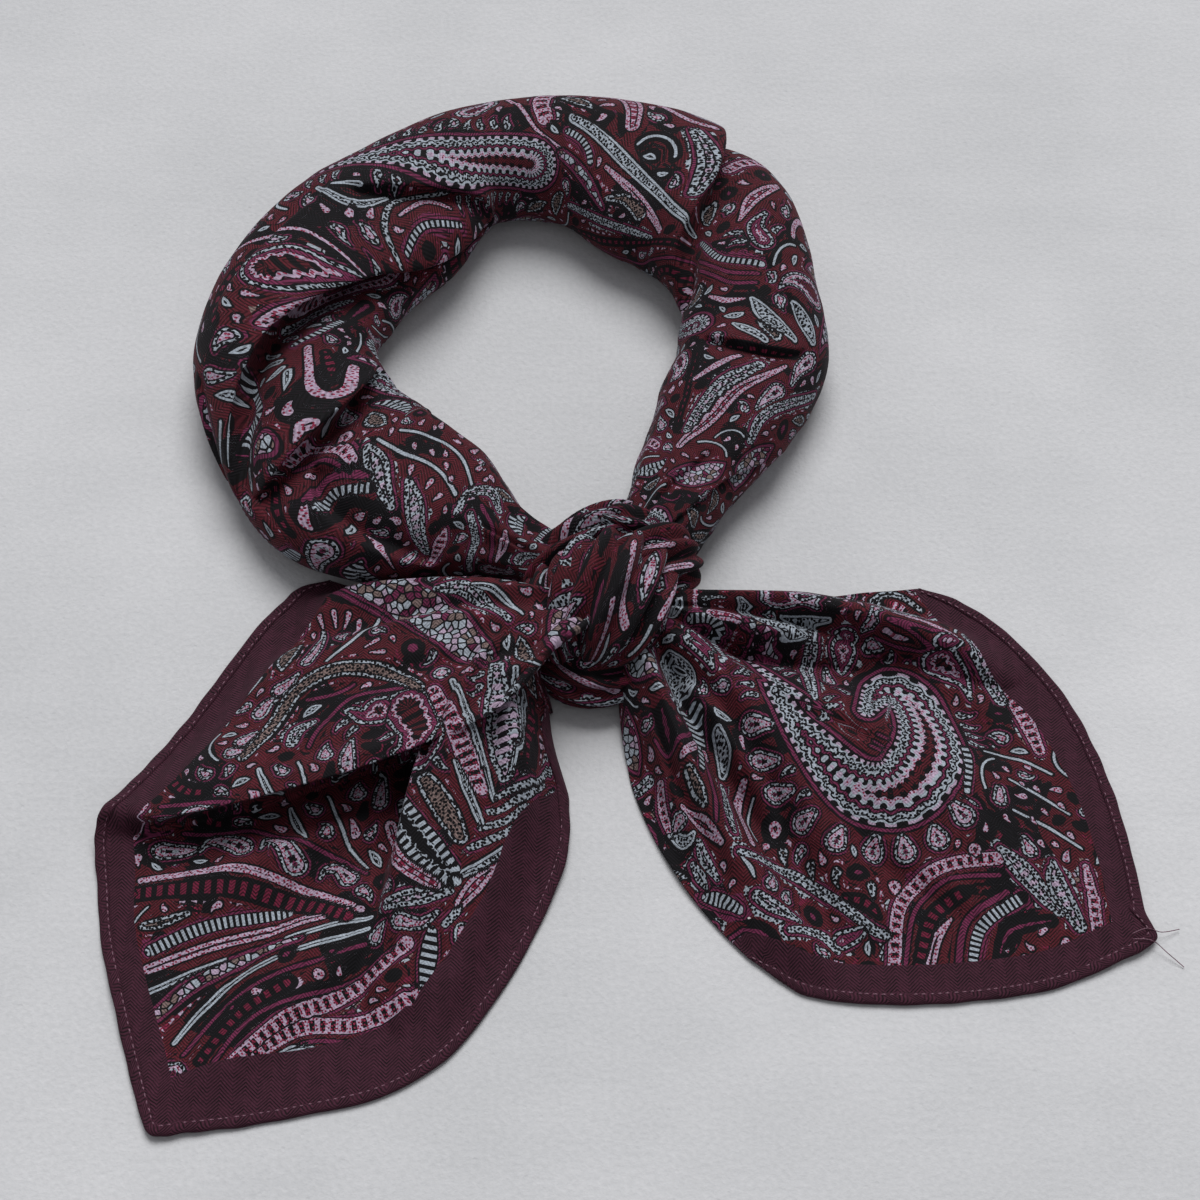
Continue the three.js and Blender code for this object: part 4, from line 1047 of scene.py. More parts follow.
BAND_MOTIFS = each_motif([
    ("grand", [(242.1, 51, 11.8), (220.1, 44.4, 10.8), (206.4, 29.6, 6.8), (195.4, 18.1, 3.7),
        (183.4, 11.5, 1.2)]),
    ("pale_line", [(255.9, 33.7, 1.9), (279.7, 41.1, 2), (315.5, 47.7, 1.2)]),
    ("lilac", [(237.5, 19.7, 0.8), (244, 37, 0.8), (255, 45.3, 0.8)], [(272.4, 30.4, 2.2), (266, 14.8, 2.8),
        (260.5, 14, 2.2), (254.1, 15.6, 0.9)]),
    ("pebbles", [(254.1, 46.1, 2.5), (266.9, 51, 2.8), (277.9, 56, 1.6)]),
    ("taupe", [(293.5, 51.8, 2.8), (285.2, 50.2, 1.9), (277.9, 52.7, 0.9)]),
    ("lilac", [(272.4, 44.4, 0.9), (288, 47.7, 1.6), (308.2, 53.5, 1.2)]),
    ("pale_strip", [(261.4, 63.4, 1.2), (281.6, 60.1, 1.4), (305.4, 57.6, 1.2)]),
    ("dark", [(265.1, 72.4, 1.2), (288, 65.8, 1.6), (321, 53.5, 1.2)]),
    ("magenta_line", [(278.8, 73.2, 0.8), (305.4, 69.9, 0.8), (328.3, 54.3, 0.8)]),
    ("pale_strip", [(288, 23.9, 1.6), (297.2, 31.3, 2.2), (303.6, 39.5, 1.6)]),
    ("lilac", [(321, 33.7, 0.6), (314.6, 27.2, 2.2), (311.8, 15.6, 0.9)]),
    ("rings", [(330.2, 29.6, 3.4), (324.7, 30.4, 2.5), (321, 26.3, 0.9)]),
    ("magenta_line", [(329.3, 51, 0.9), (340.3, 42, 0.9), (343, 33.7, 0.9)], [(333.8, 51.8, 0.9),
        (344.8, 42, 0.9), (346.7, 34.6, 0.9)]),
    ("ladder", [(321, 46.9, 1.2), (333.8, 42.8, 1.2), (339.3, 32.1, 1.2)]),
    ("lilac", [(349.4, 48.5, 0.9), (353.1, 42.8, 1.4), (353.1, 37, 0.6)]),
    ("pale_line", [(353.1, 35.4, 0.9), (360.4, 31.3, 2.8), (365.9, 23, 1.2)], [(353.1, 23.9, 0.9),
        (358.6, 19.7, 2.5), (364.1, 15.6, 1.2)], [(365, 39.5, 0.9), (366.9, 36.2, 1.9),
        (369.6, 31.3, 1.2)]),
    ("taupe", [(366.9, 28.8, 1.9), (365, 32.1, 1.2), (362.3, 33.7, 0.6)]),
    ("dark", [(374.2, 39.5, 1.1), (372.4, 31.3, 1.2), (369.6, 19.7, 1.2)]),
    ("drop", [(369.6, 14.8, 3.1), (374.2, 17.3, 2.2), (379.7, 17.3, 0.9)], [(385.2, 20.6, 3.1),
        (390.7, 22.2, 2.2), (395.3, 23, 0.9)]),
    ("lilac", [(377.9, 35.4, 0.9), (385.2, 39.5, 1.4), (393.5, 45.3, 0.9)]),
    ("pale_strip", [(378.8, 29.6, 1.6), (395.3, 36.2, 2.2), (414.6, 37.8, 1.9)]),
    ("lilac", [(375.1, 22.2, 0.9), (391.6, 31.3, 1.9), (407.2, 33.7, 1.9), (422.8, 37.8, 1.6)]),
    ("pale_strip", [(406.3, 17.3, 1.6), (397.1, 19.7, 1.9), (385.2, 13.2, 1.9), (375.1, 3.3, 1.2)]),
    ("dark", [(378.8, 48.5, 0.9), (399.9, 45.3, 1.2), (416.4, 42.8, 0.9)]),
    ("rings", [(153.2, 27.2, 5.6), (157.7, 32.1, 5), (160.5, 37, 2.8), (168.8, 46.9, 0.6)]),
    ("lilac", [(159.6, 8.2, 0.6), (164.2, 20.6, 0.8), (168.8, 30.4, 0.8), (166, 42, 0.6)]),
    ("pale_line", [(183.4, 21.4, 0.9), (184.3, 32.9, 1.6), (193.5, 35.4, 0.9)], [(186.2, 24.7, 0.6),
        (190.8, 29.6, 1.2)]),
    ("taupe", [(179.8, 47.7, 0.8), (184.3, 42, 0.9), (195.4, 37.8, 0.9), (207.3, 46.1, 0.8)]),
    ("ladder", [(184.3, 47.7, 0.6), (194.4, 47.7, 0.8), (202.7, 54.3, 0.6)]),
    ("lilac", [(190.8, 42, 0.6), (199.9, 42.8, 1.1), (203.6, 50.2, 0.6)]),
    small_drops("lilac", 1.2, 0.6, [(177.9, 30.4, 178.8, 28), (180.7, 34.6, 183.4, 33.7),
        (184.3, 37.8, 187.1, 36.2)]),
    ("blot", [(172.4, 25.5, 1.2), (170.6, 25.5, 0.6)]),
    ("drop", [(174.3, 35.4, 1.6), (172.4, 37, 0.9), (171.5, 38.7, 0.3)]),
    ("dots", [(137.6, 25.5, 1.2), (152.2, 37.8, 1.6), (173.3, 56.8, 1.6), (194.4, 55.1, 1.2)]),
    ("pale_strip", [(142.2, 34.6, 1.9), (151.3, 44.4, 1.9), (157.7, 51, 0.9)]),
    ("blot", [(157.7, 56, 2.5), (148.6, 52.7, 1.9), (137.6, 49.4, 0.6)]),
    ("ladder", [(132.1, 37, 1.2), (134.8, 43.6, 1.2), (143.1, 50.2, 1.2)]),
    ("pale_line", [(126.6, 32.9, 1.2), (128.4, 29.6, 1.2), (128.4, 24.7, 0.3)], [(122.9, 32.9, 1.2),
        (122, 30.4, 1.2), (122, 27.2, 0.3)], [(120.1, 33.7, 1.2), (116.5, 32.9, 1.2), (112.8, 31.3, 0.3)],
        [(130.2, 32.9, 0.9), (133, 28.8, 1.2)]),
    ("lilac", [(127.5, 39.5, 1.2), (118.3, 37.8, 1.2), (107.3, 35.4, 1.2), (106.4, 39.5, 1.2),
        (113.7, 46.1, 1.2)]),
    ("dark", [(122.9, 42.8, 1.2), (115.6, 42, 1.9), (110.1, 39.5, 0.6)]),
    ("zebra", [(126.6, 20.6, 1.2), (122, 20.6, 1.9), (112.8, 22.2, 1.9), (110.1, 14.8, 1.9),
        (106.4, 9.1, 1.2)]),
    ("pebbles", [(102.7, 21.4, 3.4), (102.7, 17.3, 2.2), (100.9, 14, 0.6)]),
    ("drop", [(100, 42, 2.8), (102.7, 43.6, 1.6), (104.6, 44.4, 0.3)]),
    ("lilac", [(91.7, 36.2, 1.9), (93.5, 37, 1.6)], [(101.8, 30.4, 1.6), (101.8, 28.8, 1.2),
        (100, 26.3, 0.6)]),
    ("dots", [(96.3, 22.2, 1.2), (97.2, 29.6, 1.4), (89.9, 33.7, 1.4), (82.5, 32.9, 1.2)]),
    ("magenta_line", [(94.5, 21.4, 0.8), (90.8, 29.6, 0.8), (81.6, 31.3, 0.8)], [(85.3, 18.1, 1.2),
        (86.2, 25.5, 1.2), (83.5, 29.6, 1.2), (76.1, 32.1, 1.2)]),
    ("ladder", [(82.5, 18.1, 1.4), (81.6, 25.5, 1.4), (74.3, 29.6, 1.4)]),
    ("blot", [(78.9, 15.6, 0.9), (78, 24.7, 1.6), (68.8, 24.7, 1.2)]),
    ("pale_strip", [(82.5, 36.2, 0.9), (75.2, 33.7, 2.5), (67, 26.3, 1.2)], [(66, 33.7, 0.9),
        (58.7, 25.5, 3.1), (50.4, 11.5, 1.6)]),
    ("dots", [(46.8, 23, 0.6), (46.8, 16.5, 2.2), (47.7, 6.6, 1.2)]),
    ("pale_line", [(77, 43.6, 0.6), (67.9, 46.9, 0.7), (58.7, 46.9, 0.7), (47.7, 39.5, 0.7)],
        [(81.6, 38.7, 0.6), (72.5, 38.7, 0.7), (61.4, 38.7, 0.7), (50.4, 34.6, 0.7)]),
    small_drops("lilac", 1.1, 0.5, [(69.7, 42, 68.8, 41.1), (64.2, 42.8, 63.3, 42),
        (58.7, 41.1, 57.8, 39.5), (55, 37.8, 54.1, 36.2), (72.5, 49.4, 72.5, 51.8), (67, 55.1, 67.9, 60.1),
        (61.4, 58.4, 61.4, 62.5), (55.9, 53.5, 55.9, 58.4), (49.5, 45.3, 48.6, 50.2), (67, 36.2, 66, 34.6),
        (59.6, 34.6, 59.6, 32.9), (54.1, 32.1, 55, 30.4), (45.9, 35.4, 44, 36.2)]),
    ("pale_strip", [(45.9, 28.8, 0.9), (46.8, 36.2, 1.6), (40.4, 42, 1.9), (33.9, 37.8, 1.2)],
        [(42.2, 31.3, 1.2), (35.8, 20.6, 1.4), (34.9, 1.6, 0.9)]),
    ("magenta_line", [(40.4, 35.4, 0.9), (32.1, 28.8, 0.9), (27.5, 9.9, 0.9)]),
    ("lilac", [(27.5, 30.4, 0.9), (25.7, 22.2, 1.9), (25.7, 10.7, 0.6)], [(74.3, 21.4, 1.4),
        (73.4, 23, 0.6)], [(62.4, 17.3, 1.6), (61.4, 18.9, 0.6)], [(69.7, 21.4, 1.2), (68.8, 23, 0.6)]),
    ("drop", [(55, 8.2, 1.9), (54.1, 10.7, 0.9)]),
    ("lilac", [(71.5, 15.6, 0.3), (65.1, 11.5, 0.8), (57.8, 4.9, 0.3)]),
    ("ladder", [(101.8, -1.6, 1.2), (95.4, -3.3, 1.6), (88, -4.1, 1.6), (84.4, -5.8, 1.6),
        (81.6, 2.5, 1.2)]),
    ("drop", [(77, 9.1, 3.1), (78, 3.3, 1.9), (78, -5.8, 0.6)]),
    ("magenta_line", [(81.6, -3.3, 0.8), (78.9, -7.4, 0.8), (74.3, -5.8, 0.8)]),
    ("pebbles", [(122.9, 7.4, 1.6), (118.3, 4.9, 2.5), (112.8, 4.1, 1.2)]),
    ("pale_line", [(115.6, 13.2, 0.4), (110.1, 9.1, 0.6), (105.5, 4.9, 0.4)]),
    ("dark", [(96.3, 14, 1.2), (89, 10.7, 1.9), (83.5, 9.1, 1.2)]),
    ("lilac", [(85.3, 18.1, 0.6), (82.5, 14, 1.2), (80.7, 13.2, 0.6)])])
LEFT_MOTIFS = each_motif([
    ("magenta_line", [(-80.5, 3.2, 0.9), (-54.5, -20.8, 0.9), (-30.1, -38.8, 0.9)]),
    ("pebbles", [(-69.2, -2.3, 3.1), (-57.9, -8.6, 6.2), (-48.2, -16.7, 7.4), (-34.2, -31.3, 5.3),
        (-28.2, -35.2, 1.9)]),
    ("pale_strip", [(-48.9, -10.1, 0.9), (-37.5, -10.9, 2.2), (-24.5, -23.5, 0.9)]),
    ("pale_line", [(-41.3, -10.4, 0.9), (-29.7, -12.3, 1.2), (-20.6, -22.1, 0.6)]),
    ("taupe", [(-93.4, -62.4, 2.1), (-88.2, -53.8, 2.3), (-81.9, -40.8, 2.3), (-70.9, -35.5, 2.3),
        (-57, -37.3, 2.3), (-48.4, -43.8, 2.1), (-49, -45.5, 1.6)]),
    ("pale_strip", [(-80.3, -59.7, 1.7), (-79.6, -55.1, 1.9), (-75.6, -52.4, 0.9)]),
    ("magenta_line", [(-75.6, -61.3, 0.8), (-73.3, -54.3, 0.8), (-66.3, -45.2, 0.8), (-56.3, -43.6, 0.8),
        (-50.9, -44.1, 0.8), (-50.8, -47.3, 0.6)]),
    ("rings", [(-57.9, -50.2, 4.7), (-61.7, -52, 2.8), (-65.8, -49.9, 1.6), (-67.5, -49.8, 0.6)]),
    ("drop", [(-86.6, -39.3, 2.5), (-83.3, -37.1, 1.6), (-81.6, -34.9, 0.6)], [(-91.6, -45.8, 2.5),
        (-89.1, -42.5, 1.6), (-86.8, -42.3, 0.6)], [(-94.9, -56.6, 2.5), (-92.3, -54.6, 1.6),
        (-90.3, -53.2, 0.6)], [(-97, -60.5, 2.5), (-93.6, -60.6, 1.6), (-91.7, -60.9, 0.6)]),
    ("pale_line", [(-74, -32.3, 0.6), (-67.5, -24.7, 0.8), (-60.6, -14, 0.7)]),
    ("drop", [(-79.6, -30.7, 1.9), (-77.4, -25.1, 1.6), (-77.6, -15.8, 0.6)]),
    small_drops("lilac", 1, 0.5, [(-78.4, -10.7, -77.6, -14.8), (-74, -10.9, -74, -15.3),
        (-70, -12.3, -71.7, -16.5), (-67.4, -15.1, -68.2, -22.4), (-60.6, -26.4, -63.6, -28.8),
        (-58.5, -31, -62, -31)]),
    ("blot", [(-50.3, -30.5, 3.1), (-50.8, -29.9, 2.5)]),
    ("drop", [(-42, -39.3, 2.5), (-42.2, -38.3, 1.9)]),
    ("rings", [(-50.2, -50.2, 6.8), (-46.1, -57.8, 5.6), (-48.1, -64, 3.1), (-51.9, -65.7, 1.2)]),
    ("taupe", [(-45.2, -69.7, 2.2), (-39, -78.3, 3.4), (-35.4, -85, 2.2)]),
    ("pale_line", [(-37, -65, 1.1), (-33.6, -72.2, 1.4), (-29.8, -81.5, 1.1)]),
    ("dots", [(-43.6, -46, 2.2), (-34.9, -61.7, 3.1), (-30.5, -71, 2.2)]),
    ("pale_line", [(-38.8, -42.9, 1.1), (-30.8, -60.4, 1.2), (-27, -73.4, 0.9)]),
    ("pale_strip", [(-27.1, -39.1, 2.2), (-25.4, -55.5, 4), (-24.3, -66.8, 1.9)]),
    ("pale_line", [(-21.8, -40.7, 1.1), (-21.7, -54.4, 1.2), (-23, -65, 0.9)]),
    ("dark", [(-18.1, -42.1, 1.2), (-19.4, -53, 1.9), (-19.6, -62.4, 1.2)]),
    ("zebra", [(-56.5, -69.4, 1.9), (-48, -83.7, 4.7), (-39.3, -93.8, 3.7), (-36.6, -96.4, 1.6)]),
    ("lilac", [(-59.1, -77.2, 1.9), (-51.6, -91, 2.2), (-41.8, -98, 2.2)]),
    ("pale_strip", [(-26.7, -72.7, 0.9), (-18.7, -68, 1), (-11.6, -57.1, 0.8)], [(-28.1, -77.4, 0.9),
        (-20.9, -72.9, 1), (-15.1, -65.6, 0.8)], [(-30.3, -82.1, 0.9), (-23.6, -78.5, 1),
        (-19, -74.1, 0.8)], [(-32.9, -87.7, 0.9), (-25.8, -83.4, 1), (-20.1, -78.6, 0.8)]),
    ("pale_line", [(-35.2, -95.1, 1.2), (-28.4, -90.7, 1.6), (-21.1, -83.2, 0.9)]),
    ("lilac", [(-35.9, -102.8, 1.6), (-31.9, -97.5, 2.2), (-26.7, -91.2, 1.2)]),
    ("drop", [(-118.9, -82.7, 2.8), (-112.6, -81.9, 1.9), (-109.1, -81.2, 0.6)], [(-97.5, -82.9, 3.1),
        (-104.1, -78.9, 2.2), (-107.6, -79.6, 1.2), (-109, -82.1, 0.6)], [(-83.6, -88.6, 3.1),
        (-87.5, -82, 2.2), (-91, -80.6, 1.2), (-92.3, -84, 0.6)], [(-69.3, -92.3, 2.8), (-72.3, -89.6, 1.9),
        (-75.7, -89.5, 1.2), (-77, -92, 0.6)]),
    ("magenta_line", [(-114.5, -76.5, 0.8), (-94.6, -77.6, 0.8), (-78, -84.2, 0.8), (-65.2, -90.5, 0.8)]),
    ("lilac", [(-122.8, -92.5, 1.2), (-107.9, -90.3, 1.4), (-91.2, -91.6, 1.4), (-66.3, -101.7, 1.2)]),
    ("dark", [(-123.1, -96.7, 2.5), (-107.1, -95.6, 2.8), (-93, -96.5, 2.8), (-67.4, -104.6, 2.5)]),
    ("taupe", [(-120.3, -106.6, 1.2), (-115.9, -106, 1.6), (-109.2, -103.2, 0.9)]),
    ("ladder", [(-117.7, -113.5, 1.6), (-102.4, -106, 1.6), (-83.9, -101.8, 1.4)]),
    ("lilac", [(-118.1, -118.8, 1.6), (-99.1, -110.5, 1.7), (-80.3, -105.4, 1.6), (-64.1, -102.3, 1.2)]),
    ("pale_line", [(-117.4, -125.2, 1.1), (-94.6, -114.3, 1.1), (-61.3, -104.6, 0.9)]),
    ("pebbles", [(-114.8, -131.7, 2.5), (-105.4, -122.2, 2.8), (-91.4, -114.1, 2.5), (-79.4, -110.9, 1.6)]),
    ("pale_line", [(-109.4, -139.6, 0.9), (-102.4, -129.1, 1.1), (-91.7, -119.3, 1.1),
        (-61.5, -108.3, 0.9)]),
    ("magenta_line", [(-106.6, -143.4, 0.8), (-91.9, -125.7, 0.8), (-61.8, -112.9, 0.8)]),
    ("dark", [(-101.7, -145.6, 1.6), (-92.5, -132.6, 1.9), (-81.3, -124.1, 1.9)]),
    ("lilac", [(-88.4, -127.2, 1.6), (-89.6, -126.4, 1.2)], [(-73.1, -121.9, 1.7), (-73.8, -121, 1.2)]),
    ("blot", [(-82.6, -115.9, 2.5), (-80.7, -114.7, 1.6)], [(-95.3, -130.9, 2.2), (-93.9, -128.9, 1.2)],
        [(-70.7, -115, 2.2), (-68.3, -113.8, 1.2)]),
    ("magenta_line", [(-98.8, -147.3, 0.8), (-88, -132.9, 0.8), (-65.8, -123.7, 0.8),
        (-53.1, -114.2, 0.8)]),
    ("dots", [(-95.8, -148.8, 1.9), (-81.4, -134.7, 2.2), (-66.5, -126.6, 2.2), (-49.7, -113.3, 1.9)],
        [(-91.6, -147.2, 1.6), (-77.1, -136, 2.2), (-61.7, -134.2, 2.2), (-46.7, -127, 1.9)]),
    ("magenta_line", [(-85.8, -146.3, 0.8), (-74.3, -139.4, 0.8), (-58.5, -138.9, 0.8),
        (-44, -130.8, 0.8)]),
    ("pale_line", [(-82.8, -143.8, 0.6), (-75.9, -140.7, 1.2), (-68.7, -144, 0.6)]),
    ("pale_strip", [(-55.4, -102.9, 1.6), (-46.6, -101.4, 2.2), (-38.3, -99.2, 1.2)]),
    ("drop", [(-51.5, -107.6, 2.5), (-46, -108.3, 1.6), (-41.5, -105, 0.6)]),
    ("zebra", [(-43.1, -109.9, 1.2), (-44, -116.9, 2.2), (-44.9, -128.1, 1.2)]),
    ("pale_strip", [(-39.9, -108.2, 0.9), (-36, -103.6, 1.2), (-32.9, -97.1, 0.9)]),
    ("pale_line", [(-77.4, -67, 0.6), (-71.2, -81.7, 0.7), (-64.9, -88.7, 0.6)]),
    ("drop", [(-63.9, -69.5, 2.5), (-64.4, -64.2, 1.9), (-64.1, -59.5, 0.6)]),
    ("pale_line", [(-88, -68.1, 0.9), (-84.7, -75.6, 1.2), (-81.8, -80.8, 0.6)]),
    ("lilac", [(-69.1, -79.3, 1.6), (-71, -74.9, 0.6)]),
    ("blot", [(-68.2, -73.8, 1.6), (-68.1, -69.4, 0.9)]),
    ("drop", [(-80.8, -70.6, 1.9), (-83, -67.7, 0.9)])])
RIGHT_MOTIFS = each_motif([
    ("grand", [(71.9, -48.3, 4.3), (80.2, -33.7, 7.4), (87.7, -37.9, 9.6), (89.4, -55.9, 11.2),
        (84.1, -68.2, 11.5), (72.6, -68.3, 9.6), (61.3, -57.3, 7.1), (50, -40.4, 4.3), (39.3, -13.5, 1.2)]),
    ("magenta_line", [(74.6, -56, 0.6), (78.5, -57.9, 0.6), (79.9, -57.9, 0.6), (78.2, -52.9, 0.6)]),
    small_drops("drop", 3.1, 1.6, [(42.6, -49.7, 47.6, -49.9), (44.3, -59.4, 49.4, -59.6),
        (48.1, -68.5, 53.2, -67.8), (55.7, -77, 59.1, -74.8), (64.6, -83.2, 66.7, -79.4),
        (74.7, -85.2, 75.7, -82), (83.2, -86, 82.6, -82.1), (91.9, -82.7, 90.9, -79.8),
        (98.9, -76.3, 96.1, -73.2)]),
    small_drops("lilac", 1.9, 1.2, [(47.6, -77.5, 47.3, -79.1), (79.6, -94.5, 79.2, -96.2),
        (101.1, -85.6, 101.4, -87.7)]),
    ("taupe", [(49.2, -83.9, 1.4), (49.2, -86.1, 0.8), (49.9, -88.1, 0.3)], [(56.6, -88.4, 1.4),
        (56.6, -90.7, 0.8), (56.9, -92.1, 0.3)], [(63.8, -91.6, 1.4), (63, -93.3, 0.8), (63.8, -95.6, 0.3)],
        [(72.8, -95.4, 1.4), (72.8, -97.8, 0.8), (73, -99.3, 0.3)]),
    ("pale_strip", [(34.2, -89.3, 1.1), (49.2, -89.5, 1.4), (61.7, -98.1, 1.4), (71.2, -107, 1.4),
        (76.6, -109.1, 1.2)]),
    ("pale_line", [(34.5, -90.5, 0.5), (37, -93.1, 0.9), (38.2, -95.6, 0.5)]),
    ("dots", [(76.7, -117, 1.9), (80.3, -100.1, 1.9), (92.5, -90.2, 1.9), (106.8, -88.2, 1.9)]),
    ("magenta_line", [(79.6, -117, 0.8), (83.9, -102, 0.8), (93.7, -93.8, 0.8), (106.8, -92.8, 0.8)]),
    ("dark", [(83.1, -117.5, 1.9), (88.4, -103.6, 2.2), (97.1, -97.5, 1.9)]),
    ("lilac", [(86.1, -117.3, 1.6), (88.6, -110.1, 1.6), (93.3, -104.2, 0.6)]),
    ("magenta_line", [(93.6, -117.2, 1.1), (97.3, -105, 1.1), (108.3, -97.6, 1.1)]),
    ("ladder", [(97.2, -117.5, 1.2), (101.1, -106.6, 1.6), (112.2, -99, 1.6)]),
    ("blot", [(104.2, -116.4, 1.6), (108.4, -108, 2.2), (119.1, -105.4, 1.9)]),
    small_drops("lilac", 1.4, 0.8, [(106.2, -113.4, 104.9, -114.6), (112.2, -106.5, 111, -108),
        (117.1, -107.4, 116.1, -109), (122.5, -111.3, 121.4, -112.8)]),
    ("pale_strip", [(107.7, -85.4, 0.9), (113.2, -91.7, 2.8), (122, -102.9, 1.6)], [(121.7, -88.5, 0.9),
        (122, -95.2, 2.8), (126.7, -107, 1.9)]),
    ("dots", [(130.5, -88.4, 0.9), (131.2, -97.4, 1.6), (131.2, -108.1, 1.6), (131.5, -112.4, 0.6)]),
    ("pale_line", [(111.4, -63.9, 0.6), (119.3, -67.6, 0.7), (127.4, -72.4, 0.6)], [(111.3, -74.4, 0.6),
        (121, -77.9, 0.7), (129.9, -83.1, 0.6)], [(105.8, -54.1, 0.6), (115.5, -55.1, 0.7),
        (124, -59.3, 0.6)]),
    ("dots", [(113.4, -31, 1.9), (118, -40.9, 2.2), (121.3, -51.6, 1.6)]),
    small_drops("lilac", 1.1, 0.5, [(114.8, -64.7, 115.8, -65.9), (120.2, -72.6, 121.2, -73.8),
        (118.9, -65, 119.9, -66.3), (125.3, -69.7, 126.3, -71), (116.6, -76.1, 117.6, -77.3),
        (122.5, -82.6, 123.4, -83.2), (126.9, -79.1, 127.9, -80.4), (118.5, -82.7, 119.5, -84.1),
        (110.8, -59.8, 111.8, -61), (117.5, -57.4, 118.5, -58.5)]),
    ("rings", [(95.2, -23.1, 4.7), (98, -25.7, 3.7), (101.7, -29.6, 1.9), (103.7, -35.3, 0.6)]),
    ("pale_strip", [(101.4, -17, 2.2), (107, -25.1, 2.5), (112, -34.7, 1.9)]),
    ("zebra", [(94.9, -48.2, 1.9), (98.7, -56.9, 2.5), (98.6, -70.8, 0.9)]),
    ("drop", [(107.7, -71.8, 2.2), (108, -68.4, 1.6)], [(115.6, -85.5, 2.2), (114.2, -82.6, 1.2)]),
    ("blot", [(110.8, -83.2, 1.6), (111.5, -80.9, 0.9)]),
    ("pale_line", [(38.1, -11.1, 1.2), (41.8, -17.4, 2.2), (51.6, -18.7, 2.5), (63, -15, 1.2)]),
    ("lilac", [(30.7, -17.3, 2.5), (35.8, -18.4, 1.9), (42.4, -22.2, 0.9)]),
    ("pebbles", [(39.4, -19.7, 2.5), (44.9, -21.9, 2.8), (50.8, -25, 1.6)]),
    ("drop", [(48.2, -11, 4.7), (54.3, -9.6, 2.8), (59, -12.1, 0.9)]),
    ("taupe", [(28.7, -12.3, 1.2), (31.5, -11.2, 0.9), (33.9, -11, 0.6)]),
    ("rings", [(68.7, -20.5, 4), (69.2, -23.9, 2.8), (69.1, -28, 0.6)]),
    ("drop", [(76.9, -19.6, 2.5), (79.5, -20.3, 1.2)]),
    ("pale_strip", [(58.7, -18.3, 1.6), (59.3, -26.5, 1.9), (58, -46, 1.2), (63.7, -47.2, 0.9)]),
    ("taupe", [(63.3, -10.6, 0.9), (81, 2.3, 1.2), (91.5, -2.3, 0.6)]),
    ("pale_strip", [(74.6, -7.8, 1.2), (82.1, -12.7, 1.9), (94.7, -5.8, 0.9)]),
    ("lilac", [(79.1, -13.8, 0.9), (88, -15.8, 1.2), (97.3, -19.9, 0.9)]),
    ("magenta_line", [(77.3, -17.1, 0.8), (88.9, -19.1, 0.8), (95.4, -18.9, 0.8)]),
    ("drop", [(64.3, -33.2, 1.9), (64.7, -27.1, 0.9)]),
    ("ladder", [(24.5, -18.7, 1.2), (30.9, -20, 1.6), (34.3, -31, 0.9)]),
    ("rings", [(25.4, -24.1, 2.5), (29.5, -28.7, 1.9), (31.8, -33.6, 0.6)]),
    ("pale_line", [(18, -28.5, 1.9), (23.6, -34.4, 2.2), (22.3, -45.7, 0.9)]),
    ("zebra", [(20.8, -41.7, 1.6), (26.1, -45.8, 2.5), (27.9, -56.8, 1.9), (25.3, -64.8, 0.9)]),
    ("blot", [(16.1, -47.1, 1.9), (17, -53.8, 2.2), (17.2, -58.3, 0.9)]),
    ("magenta_line", [(12.5, -54.4, 0.9), (17.2, -58.3, 0.9), (28.3, -49.1, 0.9)]),
    ("lilac", [(20.3, -61.1, 1.2), (27.1, -55.3, 1.6), (29.9, -59.1, 0.9)]),
    ("pale_line", [(33, -51.4, 1.6), (34.7, -57.3, 2.2), (34.2, -62.8, 1.2)]),
    ("taupe", [(21.5, -65.5, 1.6), (23.3, -71.4, 1.9), (24.7, -75.8, 0.9)]),
    ("lilac", [(18.2, -74.4, 1.2), (23.5, -79.4, 1.9), (29, -86.4, 0.9)]),
    ("drop", [(16.7, -77.9, 2.5), (14.7, -80.6, 1.6)]),
    ("pale_line", [(13.7, -81.3, 1.6), (17.4, -84.5, 2.2), (20.9, -82.1, 0.9)]),
    ("pale_strip", [(33.6, -66.7, 1.2), (31.8, -76.7, 1.6), (32.5, -83.2, 0.6)]),
    ("dots", [(11.6, -66.2, 1.2), (11.2, -74, 1.6), (13.7, -82.6, 0.9)]),
    ("pale_strip", [(22.3, -84.8, 1.2), (23.7, -89.8, 1.9), (27.4, -95.3, 0.9)], [(20, -91.2, 0.9),
        (22.4, -94.7, 1.6), (24.3, -97.9, 0.6)]),
    ("ladder", [(24.4, -100.2, 1.2), (29.2, -101.4, 1.9), (34.1, -103.7, 1.2)]),
    ("pale_strip", [(39.3, -100.4, 1.6), (44.1, -103, 1.9), (51.4, -105.6, 0.9)]),
    ("magenta_line", [(28.3, -52.6, 0.8), (27.9, -70.8, 0.8), (27.6, -80.9, 0.6)]),
    ("rings", [(63.4, -109.5, 2.8), (68.1, -108, 1.9), (70.2, -105.6, 0.6)]),
    ("pale_strip", [(48.4, -108.9, 0.9), (57.5, -108.1, 1.6), (62, -112.8, 0.9)]),
    ("dark", [(65.1, -98.5, 1.2), (70.9, -100.3, 1.9), (73.6, -103.9, 0.9)]),
    ("lilac", [(39.4, -52.8, 0.9), (40.1, -56.3, 0.6)]),
    ("drop", [(45.1, -22.3, 1.2), (41.6, -21.9, 0.6)])])

print(len(BAND_MOTIFS), len(LEFT_MOTIFS), len(RIGHT_MOTIFS), "featured motifs")

